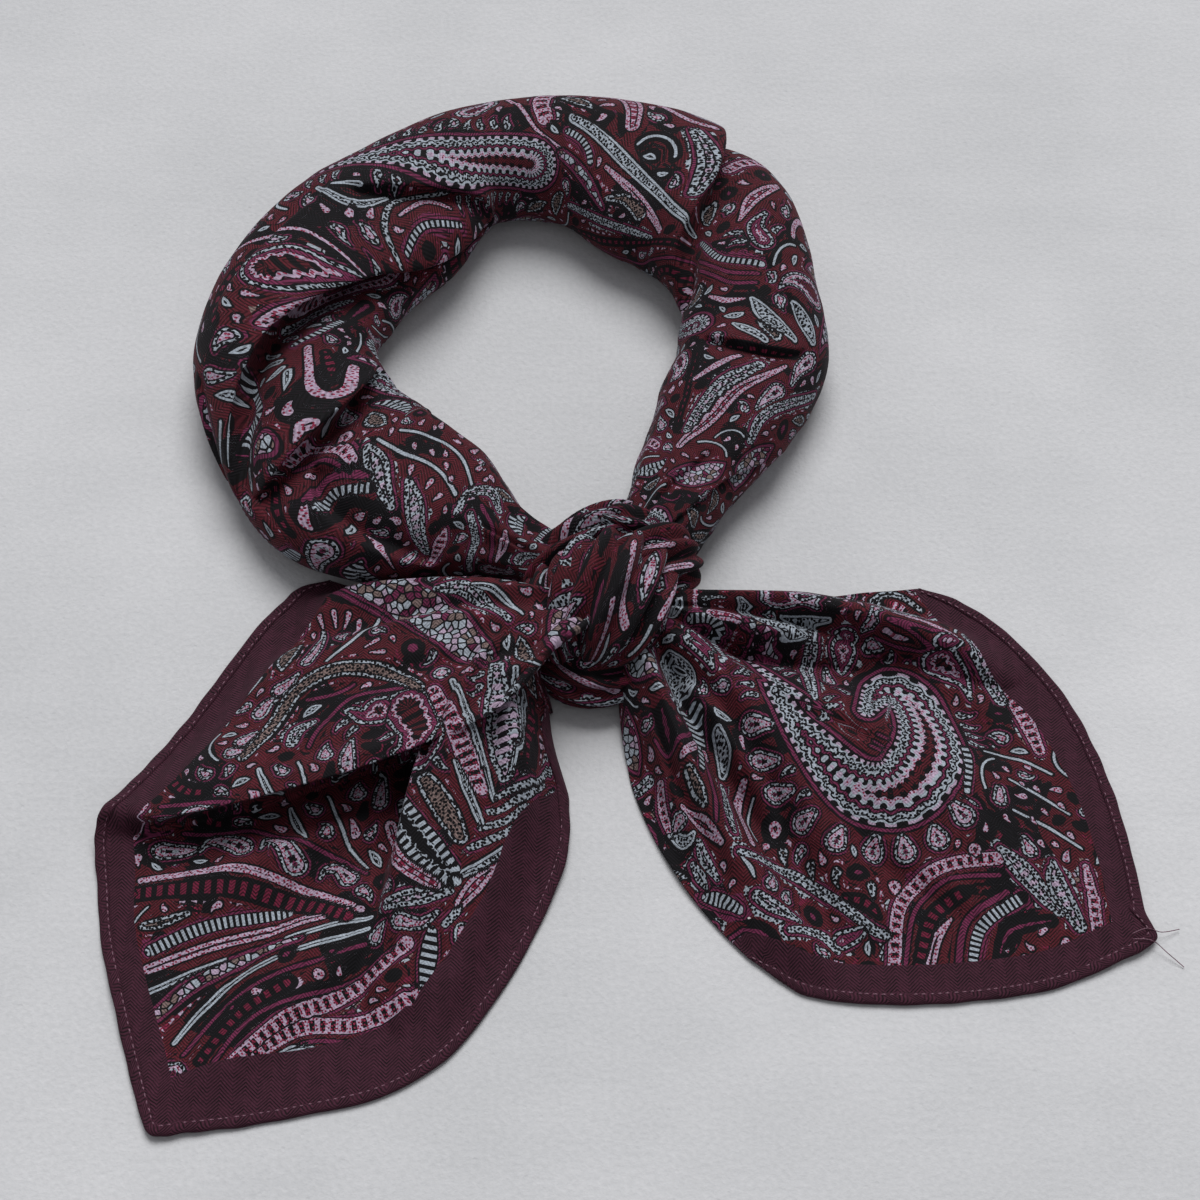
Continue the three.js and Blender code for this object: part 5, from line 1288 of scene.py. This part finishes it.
# %% [markdown]
# ## Printed twill
# The cloth is light wool twill, woven in a herringbone and printed with acid inks, one for each
# screen. The finish is matt with a faint sheen of fibre ends, and the ink lies in the threads, so
# colours are dull and the twill line shows through them. The print is painted from the depth inside a
# motif: each style is a list of rings, with a colour, another for the teeth that repeat along the
# outline, and what fills the ring.

# %% Inks and rings
INKS = {"ground": "#561B25", "ink": "#0F0D12", "magenta": "#702B4C", "pale": "#A1AAB4",
        "lilac": "#AF9BB0", "taupe": "#7F6C68", "plum": "#44202F", "crimson": "#6E1E38"}
PLAIN, GROUND, PEBBLES, SPECKS, RED_SPECKS = 0.0, 0.2, 0.4, 0.7, 1.0
ECHO_MM = 1.25  # rings may start this far outside the outline
BARE = [(-ECHO_MM, "ground", GROUND), (-0.4, "ink")]
ECHO = [(-ECHO_MM, "ground", GROUND), (-1.15, "ink"), (-0.85, "magenta"), (-0.35, "ink")]
# mm inside the outline, colour, then filling and colour on the teeth where they aren't plain
RINGS = {
    "grand": BARE + [(0.3, "magenta"), (1.25, "ink"), (1.9, "ink", PLAIN, "lilac"), (2.7, "pale"),
        (3.3, "ink"), (3.8, "pale", SPECKS), (5.2, "ink"), (5.6, "magenta"), (6.3, "ink"),
        (6.8, "ink", PLAIN, "pale"), (7.8, "pale", PLAIN, "lilac"), (8.6, "lilac", RED_SPECKS),
        (9.6, "ink"), (10.0, "ground", PLAIN, "ink"), (11.2, "ground")],
    "drop": ECHO + [(0.05, "pale", SPECKS), (0.7, "ink"), (1.05, "lilac", RED_SPECKS),
        (1.8, "ink", PLAIN, "pale"), (2.6, "magenta"), (3.1, "ink"), (3.5, "ground")],
    "pale_line": BARE + [(0.2, "pale"), (0.8, "ink"), (1.05, "pale", SPECKS)],
    "pale_strip": ECHO + [(0.05, "pale", SPECKS), (1.2, "ink"), (1.6, "pale", SPECKS, "lilac"),
        (2.5, "ink", PLAIN, "lilac")],
    "lilac": BARE + [(0.22, "lilac", RED_SPECKS), (1.3, "ink"), (1.6, "lilac", RED_SPECKS, "crimson")],
    "ladder": ECHO + [(0.1, "ink", PLAIN, "pale")],
    "dark": BARE + [(0.9, "ink", PLAIN, "crimson")],
    "pebbles": BARE + [(0.3, "magenta"), (1.1, "ink"), (1.4, "pale", PEBBLES)],
    "dots": ECHO + [(0.05, "lilac", RED_SPECKS), (0.75, "lilac", RED_SPECKS, "ink")],
    "taupe": BARE + [(0.2, "pale", SPECKS), (0.9, "ink"), (1.15, "taupe", SPECKS)],
    "zebra": ECHO + [(0.1, "ink", PLAIN, "pale"), (2.4, "pale", SPECKS), (3.2, "ink")],
    "magenta_line": BARE + [(0.2, "magenta")],
    "blot": BARE + [(1.7, "magenta")],
    "rings": ECHO + [(0.1, "pale", SPECKS), (0.95, "ink"), (1.3, "magenta"), (2.1, "ink"),
        (2.4, "lilac", RED_SPECKS), (3.3, "ink"), (3.7, "ground", PLAIN, "ink")]}
SLOT_MM = 6.0  # depth that a small style takes up on its ramp
GRAND_MM = 24.0  # the same for the grand one, which has a ramp of its own
SLOTS = 5  # a ramp holds 32 stops at most, so the small styles share three ramps
FIRST_STYLES = [0, 1, 6, 10]  # the style with which each ramp starts


def ring_stops(names, slot, on_teeth):
    """Ramp stops of some styles side by side, each in its own slot of depth."""
    beside = 1 if slot == GRAND_MM else SLOTS
    stops = []
    for k, name in enumerate(names):
        for depth, colour, *more in RINGS[name]:
            filling = more[0] if more else PLAIN
            ink = more[1] if on_teeth and len(more) > 1 else colour
            stops.append(((k + (depth + ECHO_MM) / slot) / beside, linear(INKS[ink])[:3] + [filling]))
    return stops


print(sum(len(rows) for rows in RINGS.values()), "rings in", len(RINGS), "styles")

# %% [markdown]
# ## What the shader is told
# A shader sees one point of cloth at a time and knows nothing of its neighbours. So each point brings
# along what was found for it: the motif that it lies in, the nearest place on that motif's spine, and
# its own place on the chart. Attributes do this where a picture of the whole print would be too coarse.

# %% What the points of the cloth carry
twill, tree = new_material("printed_wool_twill")
motif, cloth, spine = (
    add(tree, "SeparateXYZ", (add(tree, "Attribute", attribute_name=name).outputs["Vector"],))
    for name in ("motif", "chart", "spine"))
flat = add(tree, "CombineXYZ", {"X": cloth.outputs["X"], "Y": cloth.outputs["Y"]})
print("the shader reads three marks of each point: motif, spine and chart")

# %% [markdown]
# ## Depth inside a motif
# Ink edges on real cloth are sharp to a thread. If the depth itself were blended between the points of
# the mesh, thin lines would wobble, so only the nearest place on the spine is carried and the distance
# to it is worked out for each sample. A little noise then lets the edges wander as ink does in threads.

# %% Depth, wander and teeth
WANDER_MM = 0.3  # of an ink edge, all in all
BEND_FROM_MM, BEND_FULL_MM, BEND_MM = 1.2, 3.0, 0.4  # deeper rings bend in and out with the teeth
CODE_SLACK = 0.02
# between two motifs the code is no whole number; there the depth on the points serves
code = add(tree, "Math", (motif.outputs["Z"],), operation="ROUND")
between = add(tree, "Math", (motif.outputs["Z"], code), operation="SUBTRACT")
between = add(tree, "Math", (between,), operation="ABSOLUTE")
between = add(tree, "Math", (between, CODE_SLACK), operation="GREATER_THAN")
spine_place = add(tree, "CombineXYZ", {"X": spine.outputs["X"], "Y": spine.outputs["Y"]})
away = add(tree, "VectorMath", (flat, spine_place), operation="DISTANCE").outputs["Value"]
depth = add(tree, "Math", (spine.outputs["Z"], away), operation="SUBTRACT")
depth = add(tree, "Mix", {0: between, 2: depth, 3: motif.outputs["X"]}, data_type="FLOAT")

wander = add(tree, "TexNoise", {"Vector": flat, "Scale": 0.9, "Detail": 2.0})
depth = add(tree, "Math", (wander, WANDER_MM, depth), operation="MULTIPLY_ADD")
depth = add(tree, "Math", (depth, WANDER_MM / 2), operation="SUBTRACT")
phase = add(tree, "Math", (motif.outputs["Y"], 2 * math.pi), operation="MULTIPLY")
tooth = add(tree, "Math", (phase,), operation="COSINE")
scallop = add(tree, "MapRange", (depth, BEND_FROM_MM, BEND_FULL_MM, 0.0, BEND_MM))
ringed = add(tree, "Math", (tooth, scallop, depth), operation="MULTIPLY_ADD")

print("teeth repeat each", TOOTH_MM, "mm along an outline")

# %% [markdown]
# ## Colours of the rings
# Each screen of the real print lays one flat ink. A colour ramp with hard steps does the same here and
# turns depth into colour: one ramp for the rings and one for the teeth on them, for the grand motif
# alone and for the other styles side by side. The ramp's alpha says what fills a ring.

# %% Ring colours by style and depth
style = add(tree, "Math", (code, len(STYLES)), operation="MODULO")
share = add(tree, "MapRange", (ringed, -ECHO_MM, SLOT_MM - ECHO_MM, 0.0, 0.999))
on_tooth = add(tree, "Math", (tooth, 0.0), operation="GREATER_THAN")
grand_share = add(tree, "MapRange", (ringed, -ECHO_MM, GRAND_MM - ECHO_MM))
painted = []
for first, after in zip(FIRST_STYLES, FIRST_STYLES[1:] + [None]):
    place, slot = grand_share, GRAND_MM
    if first:
        slot = SLOT_MM
        place = add(tree, "Math", (style, first), operation="SUBTRACT")
        place = add(tree, "Math", (place, share), operation="ADD")
        place = add(tree, "Math", (place, SLOTS), operation="DIVIDE")
    off, on = (add(tree, "ValToRGB", {"Fac": place}, stops=ring_stops(STYLES[first:after], slot, on_teeth))
               for on_teeth in (False, True))
    colour = add(tree, "Mix", {0: on_tooth, 6: off.outputs[0], 7: on.outputs[0]}, data_type="RGBA")
    painted.append((colour, off.outputs["Alpha"]))
colour, filling = painted[0]
for first, (next_colour, next_filling) in zip(FIRST_STYLES[1:], painted[1:]):
    chosen = add(tree, "Math", (style, first - 0.5), operation="GREATER_THAN")
    colour = add(tree, "Mix", {0: chosen, 6: colour, 7: next_colour}, data_type="RGBA")
    filling = add(tree, "Mix", {0: chosen, 2: filling, 3: next_filling}, data_type="FLOAT")

print("rings painted with", 2 * len(painted), "colour ramps")

# %% [markdown]
# ## Specks and pebbles
# The pale rings of such a print are never plain: they are peppered with dots or drawn as small pebbles.
# Flat cell noise gives both: dots where a cell's middle is near, and lines where two cells meet.

# %% Fillings of the rings
SPECK_MM = 0.95  # real ones are about 0.7 mm apart; drawn coarser so that they show
SPECK_SIZE = 0.4  # in spacings
RED_SMALLER = 0.1  # red specks are this much smaller
PEBBLE_MM = 2.0
PEBBLE_LINE = 0.12  # half the line between two pebbles, in spacings
PEBBLE_INKS = [(0.0, "pale"), (0.4, "lilac"), (0.65, "taupe"), (0.85, "magenta")]
FILLING_SLACK = 0.1
specks = add(tree, "TexVoronoi", {"Vector": flat, "Scale": 1 / SPECK_MM, "Randomness": 0.85},
             voronoi_dimensions="2D")
red = add(tree, "Math", (filling, (SPECKS + RED_SPECKS) / 2), operation="GREATER_THAN")
size = add(tree, "Math", (red, -RED_SMALLER, SPECK_SIZE), operation="MULTIPLY_ADD")
speck = add(tree, "Math", (specks, size), operation="LESS_THAN")
speck_colour = add(tree, "Mix", {0: red, 6: linear(INKS["ink"]), 7: linear("#8C2845")}, data_type="RGBA")
filled = add(tree, "Math", (filling, (PEBBLES + SPECKS) / 2), operation="GREATER_THAN")
speck = add(tree, "Math", (speck, filled), operation="MULTIPLY")
colour = add(tree, "Mix", {0: speck, 6: colour, 7: speck_colour}, data_type="RGBA")
pebble = add(tree, "TexVoronoi", {"Vector": flat, "Scale": 1 / PEBBLE_MM}, feature="DISTANCE_TO_EDGE",
             voronoi_dimensions="2D")
pebble_ink = add(tree, "TexVoronoi", {"Vector": flat, "Scale": 1 / PEBBLE_MM}, voronoi_dimensions="2D")
pebble_ink = add(tree, "SeparateColor", (pebble_ink.outputs["Color"],))
pebble_ink = add(tree, "ValToRGB", {0: pebble_ink},
                 stops=[(place, linear(INKS[ink])) for place, ink in PEBBLE_INKS])
pebble_line = add(tree, "Math", (pebble, PEBBLE_LINE), operation="LESS_THAN")
pebble_ink = add(tree, "Mix", {0: pebble_line, 6: pebble_ink, 7: linear(INKS["ink"])}, data_type="RGBA")
pebbled = add(tree, "Math", (filling, PEBBLES, FILLING_SLACK), operation="COMPARE")
colour = add(tree, "Mix", {0: pebbled, 6: colour, 7: pebble_ink}, data_type="RGBA")

# where two motifs meet, an ink line
colour = add(tree, "Mix", {0: between, 6: colour, 7: linear(INKS["ink"])}, data_type="RGBA")

print("specks each", SPECK_MM, "mm and pebbles each", PEBBLE_MM, "mm")

# %% [markdown]
# ## Ground and plain border
# Between the motifs lies burgundy, in places black, with a few sprigs, and along the sewn edge the
# cloth is left a plain plum. The marks say how far the border is, so its edge is crisp too.

# %% Ground, sprigs and border
SPRIG_MM = 7.5
SPRIG_INKS = [(0.0, "pale"), (0.055, "ink"), (0.1, "magenta"), (0.17, "ink"), (0.2, "ground")]
SPRIG_AWAY_MM = 2.0  # from the motifs
BLACK_MM = 20.0  # width of the black places
BLACK_SHARE = 0.55  # the ground is black where a broad noise is above this
region = add(tree, "TexNoise", {"Vector": flat, "Scale": 1 / BLACK_MM, "Detail": 1.0})
region = add(tree, "Math", (region, BLACK_SHARE), operation="GREATER_THAN")
ground = add(tree, "Mix", {0: region, 6: linear(INKS["ground"]), 7: linear(INKS["ink"])}, data_type="RGBA")
sprig = add(tree, "TexVoronoi", {"Vector": flat, "Scale": 1 / SPRIG_MM, "Randomness": 0.9},
            voronoi_dimensions="2D")
petal = add(tree, "ValToRGB", {0: sprig}, stops=[(place, linear(INKS[ink])) for place, ink in SPRIG_INKS])
apart = add(tree, "Math", (depth, -SPRIG_AWAY_MM), operation="LESS_THAN")
ground = add(tree, "Mix", {0: apart, 6: ground, 7: petal}, data_type="RGBA")
bare = add(tree, "Math", (filling, GROUND, FILLING_SLACK), operation="COMPARE")
outside = add(tree, "Math", (depth, 0.0), operation="LESS_THAN")
outside = add(tree, "Mix", {0: between, 2: bare, 3: outside}, data_type="FLOAT")
colour = add(tree, "Mix", {0: outside, 6: colour, 7: ground}, data_type="RGBA")
printed = add(tree, "Math", (cloth.outputs["Z"], 0.0), operation="GREATER_THAN")
colour = add(tree, "Mix", {0: printed, 6: linear(INKS["plum"]), 7: colour}, data_type="RGBA")

print("sprigs each", SPRIG_MM, "mm on the ground")

# %% [markdown]
# ## Herringbone
# A herringbone twill shows fine diagonal lines that turn back at each stripe. The lines are painted shade
# in the twill's grooves: a wave over the chart whose sideways part goes to and fro, darkening dark ink
# more than pale ink, because the pale inks lie on top of the threads. Alternate stripes catch the light
# differently, so they get a painted sheen, lighter and darker in turn.

# %% Herringbone lines
TWILL_PITCH_MM = 1.0  # real lines are 0.7 mm apart; drawn coarser so that they show
HERRINGBONE_MM = 3.2  # width of a stripe before the line turns
zigzag = add(tree, "Math", (cloth.outputs["X"], HERRINGBONE_MM), operation="PINGPONG")
line = add(tree, "Math", (zigzag, cloth.outputs["Y"]), operation="ADD")
line = add(tree, "Math", (line, 2 * math.pi / TWILL_PITCH_MM), operation="MULTIPLY")
line = add(tree, "Math", (line,), operation="SINE")
patchy = add(tree, "TexNoise", {"Vector": flat, "Scale": 0.35, "Detail": 3.0})
# painted shade in the twill's grooves, patchy, and stronger on dark ink than on pale
groove = add(tree, "MapRange", (line, -0.4, 0.6, 0.0, 1.7))
groove = add(tree, "Math", (groove, patchy), operation="MULTIPLY")
bright = add(tree, "RGBToBW", (colour,))
show = add(tree, "MapRange", (bright, 0.03, 0.4, 0.95, 0.3))
groove = add(tree, "Math", (groove, show), operation="MULTIPLY")
shaded = add(tree, "Mix", {0: 1.0, 6: colour, 7: linear("#5A545C")}, data_type="RGBA", blend_type="MULTIPLY")
colour = add(tree, "Mix", {0: groove, 6: colour, 7: shaded}, data_type="RGBA")
# painted sheen: alternate herringbone stripes lighter and darker, as if they caught the light differently
painted_stripe_sheen = add(tree, "Math", (cloth.outputs["X"], math.pi / HERRINGBONE_MM), operation="MULTIPLY")
painted_stripe_sheen = add(tree, "Math", (painted_stripe_sheen,), operation="SINE")
painted_stripe_sheen = add(tree, "MapRange", (painted_stripe_sheen, -0.3, 0.3, 0.94, 1.08))
colour = add(tree, "Mix", {0: 1.0, 6: colour, 7: painted_stripe_sheen}, data_type="RGBA", blend_type="MULTIPLY")
wear = add(tree, "TexNoise", {"Vector": flat, "Scale": 0.06, "Detail": 2.0})
wear = add(tree, "MapRange", (wear, 0.3, 0.7, 0.92, 1.06))
colour = add(tree, "Mix", {0: 1.0, 6: colour, 7: wear}, data_type="RGBA", blend_type="MULTIPLY")

print("twill lines each", TWILL_PITCH_MM, "mm in stripes of", HERRINGBONE_MM, "mm")

# %% [markdown]
# ## Fibres and finish
# Wool fibres take the ink unevenly, so up close the print looks salted, and the twill lines stand a
# little proud. A matt surface with a faint sheen gives the eye soft cloth and not paper.

# %% Uneven fibres and the finish
fibre = add(tree, "TexNoise", {"Vector": flat, "Scale": 1.9, "Detail": 3.0, "Roughness": 0.7})
uptake = add(tree, "MapRange", (fibre, 0.32, 0.68, 0.62, 1.3))
colour = add(tree, "Mix", {0: 1.0, 6: colour, 7: uptake}, data_type="RGBA", blend_type="MULTIPLY")
relief = add(tree, "Math", (line, 0.5, fibre), operation="MULTIPLY_ADD")
bump = add(tree, "Bump", {"Height": relief, "Strength": 0.35, "Distance": 0.0002})
shader = add(tree, "BsdfPrincipled", {
    "Base Color": colour, "Roughness": 0.85, "IOR": 1.5, "Specular IOR Level": 0.2, "Normal": bump,
    "Sheen Weight": 0.05, "Sheen Roughness": 0.4, "Sheen Tint": linear("#D8C0CC")})
add(tree, "OutputMaterial", {"Surface": shader})
print("printed twill has", len(tree.nodes), "nodes")

# %% [markdown]
# ## Printed pieces
# Now the surfaces become pieces. The neck band takes the whole roll's grid. Each corner end is a sheet
# 0.8 mm thick, about two of the cloth's threads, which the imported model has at 1 mm so that it can
# collide. Each carries, for the print, its places on the chart and the motif that is felt there.

# %% Marks for the print
FILL_SEED = 7  # any number does; this one gives an even print
ALL_PRINTED_MM, ALL_PLAIN_MM = 9.0, -1.0  # how far inside the border, where there is no border to measure


def print_marks(places, motifs, border=ALL_PRINTED_MM):
    """Attributes of points at chart places: the motif there, and the place with the border distance."""
    felt, spine_at = motifs_felt(places, motifs)
    border = np.broadcast_to(border, places.shape[:-1])[..., None]
    return {"motif": felt, "spine": spine_at, "chart": np.concatenate([places, border], -1)}


print("each point of cloth carries motif, spine and chart")

# %% [markdown]
# ## Neck band
# The roll is one closed piece. Its chart is simply the run along the roll and the way round it.

# %% Neck band
band_places = np.stack([stations * STATION_MM, angles * RADIAN_MM], -1)
band_motifs = fill_ground(BAND_MOTIFS, band_places, FILL_SEED)
band_cloth = make_roll("neck_band_cloth", band_points, print_marks(band_places, band_motifs))
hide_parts("neck_band")
print(len(band_motifs), "motifs on the neck band")

# %% [markdown]
# ## Corner ends
# Each end is a thin sheet with the print on its flattened chart, a hem roll in plain plum and its row
# of stitches. The border is measured on the chart from the edge, as the real one is printed.

# %% Corner ends, hems and stitches
CLOTH_THICKNESS_MM = 0.8
HEM_GRAIN_MM = 0.75  # from side to side of the hem's ring
END_COLUMNS, END_ROWS = 418, 208


def corner_end(side, end, featured, seed):
    """Cloth, hem and stitches of an end."""
    top = end_grid(end, END_COLUMNS, END_ROWS, CLOTH_INSET_MM)
    normal = grid_normals(top)
    bottom = lying_on(top - normal * np.sign(normal[..., 2:].mean()) * CLOTH_THICKNESS_MM)
    places = stretched(chart_of_end(end), END_COLUMNS, END_ROWS)
    rim = places[::2, -1]
    plain = through(end["threads"], threads_across(end, END_COLUMNS))[::2, -1]
    border = np.min(np.hypot(places[..., None, 0] - rim[:, 0], places[..., None, 1] - rim[:, 1])
                    - (plain - CLOTH_INSET_MM), axis=-1)
    motifs = fill_ground(featured, places, seed)
    marks = print_marks(places, motifs, border)
    cloth = make_sheet(side + "_end", top, bottom[::UNDER_STEP, ::UNDER_STEP], marks)
    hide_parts(side + "_tail")
    rings = hem_rings(end)
    run = run_along(rings.mean(1))[:, None]
    hem_places = np.stack(np.broadcast_arrays(run, np.arange(HEM_SIDES) * HEM_GRAIN_MM), -1)
    hem = make_roll(side + "_hem_roll", rings, print_marks(hem_places, [], ALL_PLAIN_MM))
    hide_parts(side + "_hem")
    print(len(motifs), "motifs on the", side, "end")
    return cloth, hem, stitch_row(side + "_stitches", end)


left = corner_end("left", LEFT_END, LEFT_MOTIFS, FILL_SEED + 1)
right = corner_end("right", RIGHT_END, RIGHT_MOTIFS, FILL_SEED + 2)

# %% [markdown]
# ## Print on the wraps
# Pulled tight, the cloth in the knot shows only the tops of its gathers, so its motifs look thin and
# run along each wrap. The wraps therefore have fillers of their own, which are long and narrow.

# %% Printed wraps
WRAP_FILLERS = [
    ("strip", "lilac", 1.1, 1.7, 14, 0.1, 0.9, 5), ("leaf", "drop", 2, 3, 6, 0.1, 0.8, 4),
    ("strip", "pale_strip", 1.1, 1.6, 12, 0.1, 0.8, 5), ("leaf", "blot", 1.8, 2.8, 7, 0.1, 0.6, 6),
    ("strip", "magenta_line", 0.6, 0.9, 20, 0.1, 0.6, 7),
    ("strip", "pale_line", 0.6, 1, 12, 0.1, 0.8, 5), ("drop", "drop", 1.1, 1.9, 4, 0.2, 1, 6),
    ("leaf", "blot", 1, 1.6, 8, 0.1, 0.8, 9)]
WRAP_ROUNDS = [(0, 4, 110), (4, 8, 520)]
WRAP_SPREAD = 0.45  # radians that a motif may turn from the wrap's own run
wraps = []
for number, (name, *shape) in enumerate(KNOT_WRAPS):
    rings, own = wrap_rings(*shape)
    motifs = fill_ground([], own, FILL_SEED + 3 + number, WRAP_FILLERS, WRAP_ROUNDS, WRAP_SPREAD)
    wraps.append(make_roll(name, rings, print_marks(own, motifs)))
    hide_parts("knot")
print(len(wraps), "wraps printed")

# %% [markdown]
# ## Thread
# The hem is sewn with a dull rose polyester thread, and two loose ends of it stick out at the corner.
# Polyester thread is smooth and a little shiny, so its stitches show on the matt plum border. The light on
# its twisted plies is painted: lighter bands on their crowns and darker shade between them.

# %% Sewing thread and its loose ends
thread, tree = new_material("spun_polyester_thread")
place = add(tree, "TexCoord").outputs["Object"]
# painted highlights on the crowns of the twisted plies, with painted shade between them
painted_ply_highlights = add(tree, "TexWave", {"Vector": place, "Scale": 900.0, "Distortion": 1.0}, bands_direction="DIAGONAL")
thread_colour_and_ply_highlights = add(tree, "Mix", {0: painted_ply_highlights, 6: linear("#4E2B3A"), 7: linear("#7C5264")}, data_type="RGBA")
shader = add(tree, "BsdfPrincipled", {"Base Color": thread_colour_and_ply_highlights, "Roughness": 0.45})
add(tree, "OutputMaterial", {"Surface": shader})

LOOSE_ENDS_MM = [[(139, -108.5, 3), (143, -107, 3.2), (147, -107.5, 2), (152, -106, 0.8)],
                 [(139, -110, 3), (144, -110.5, 3), (148, -113.5, 1.6), (152, -117, 0.5)]]
LOOSE_RADIUS_MM = 0.13
LOOSE_STEPS, LOOSE_SIDES = 24, 6


def loose_end(name, rows):
    """A thin round thread through some points."""
    line = through(rows, np.linspace(0, len(rows) - 1, LOOSE_STEPS))
    side = unit(np.cross(np.gradient(line, axis=0), (0, 0, 1.0)))
    turn = sides_round(LOOSE_SIDES)
    rings = (line[:, None] + LOOSE_RADIUS_MM * np.cos(turn)[:, None] * side[:, None]
             + LOOSE_RADIUS_MM * np.sin(turn)[:, None] * np.array([0, 0, 1.0]))
    return make_roll(name, rings)


loose_ends = [loose_end(f"thread_end_{number}", rows) for number, rows in enumerate(LOOSE_ENDS_MM, 1)]
print(len(loose_ends), "loose ends of", 2 * LOOSE_RADIUS_MM, "mm thread")

# %% [markdown]
# ## One body
# The whole scarf is one thing that lies still, so every piece rides on the model's one body, and each
# gets its material: the thread's for the stitches and loose ends, the printed twill for the rest.

# %% Materials and one body
THREADS = [left[2], right[2], *loose_ends]
for piece in [band_cloth, *left[:2], *right[:2], *wraps, *THREADS]:
    piece.data.materials.append(thread if piece in THREADS else twill)
    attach(piece, "root")
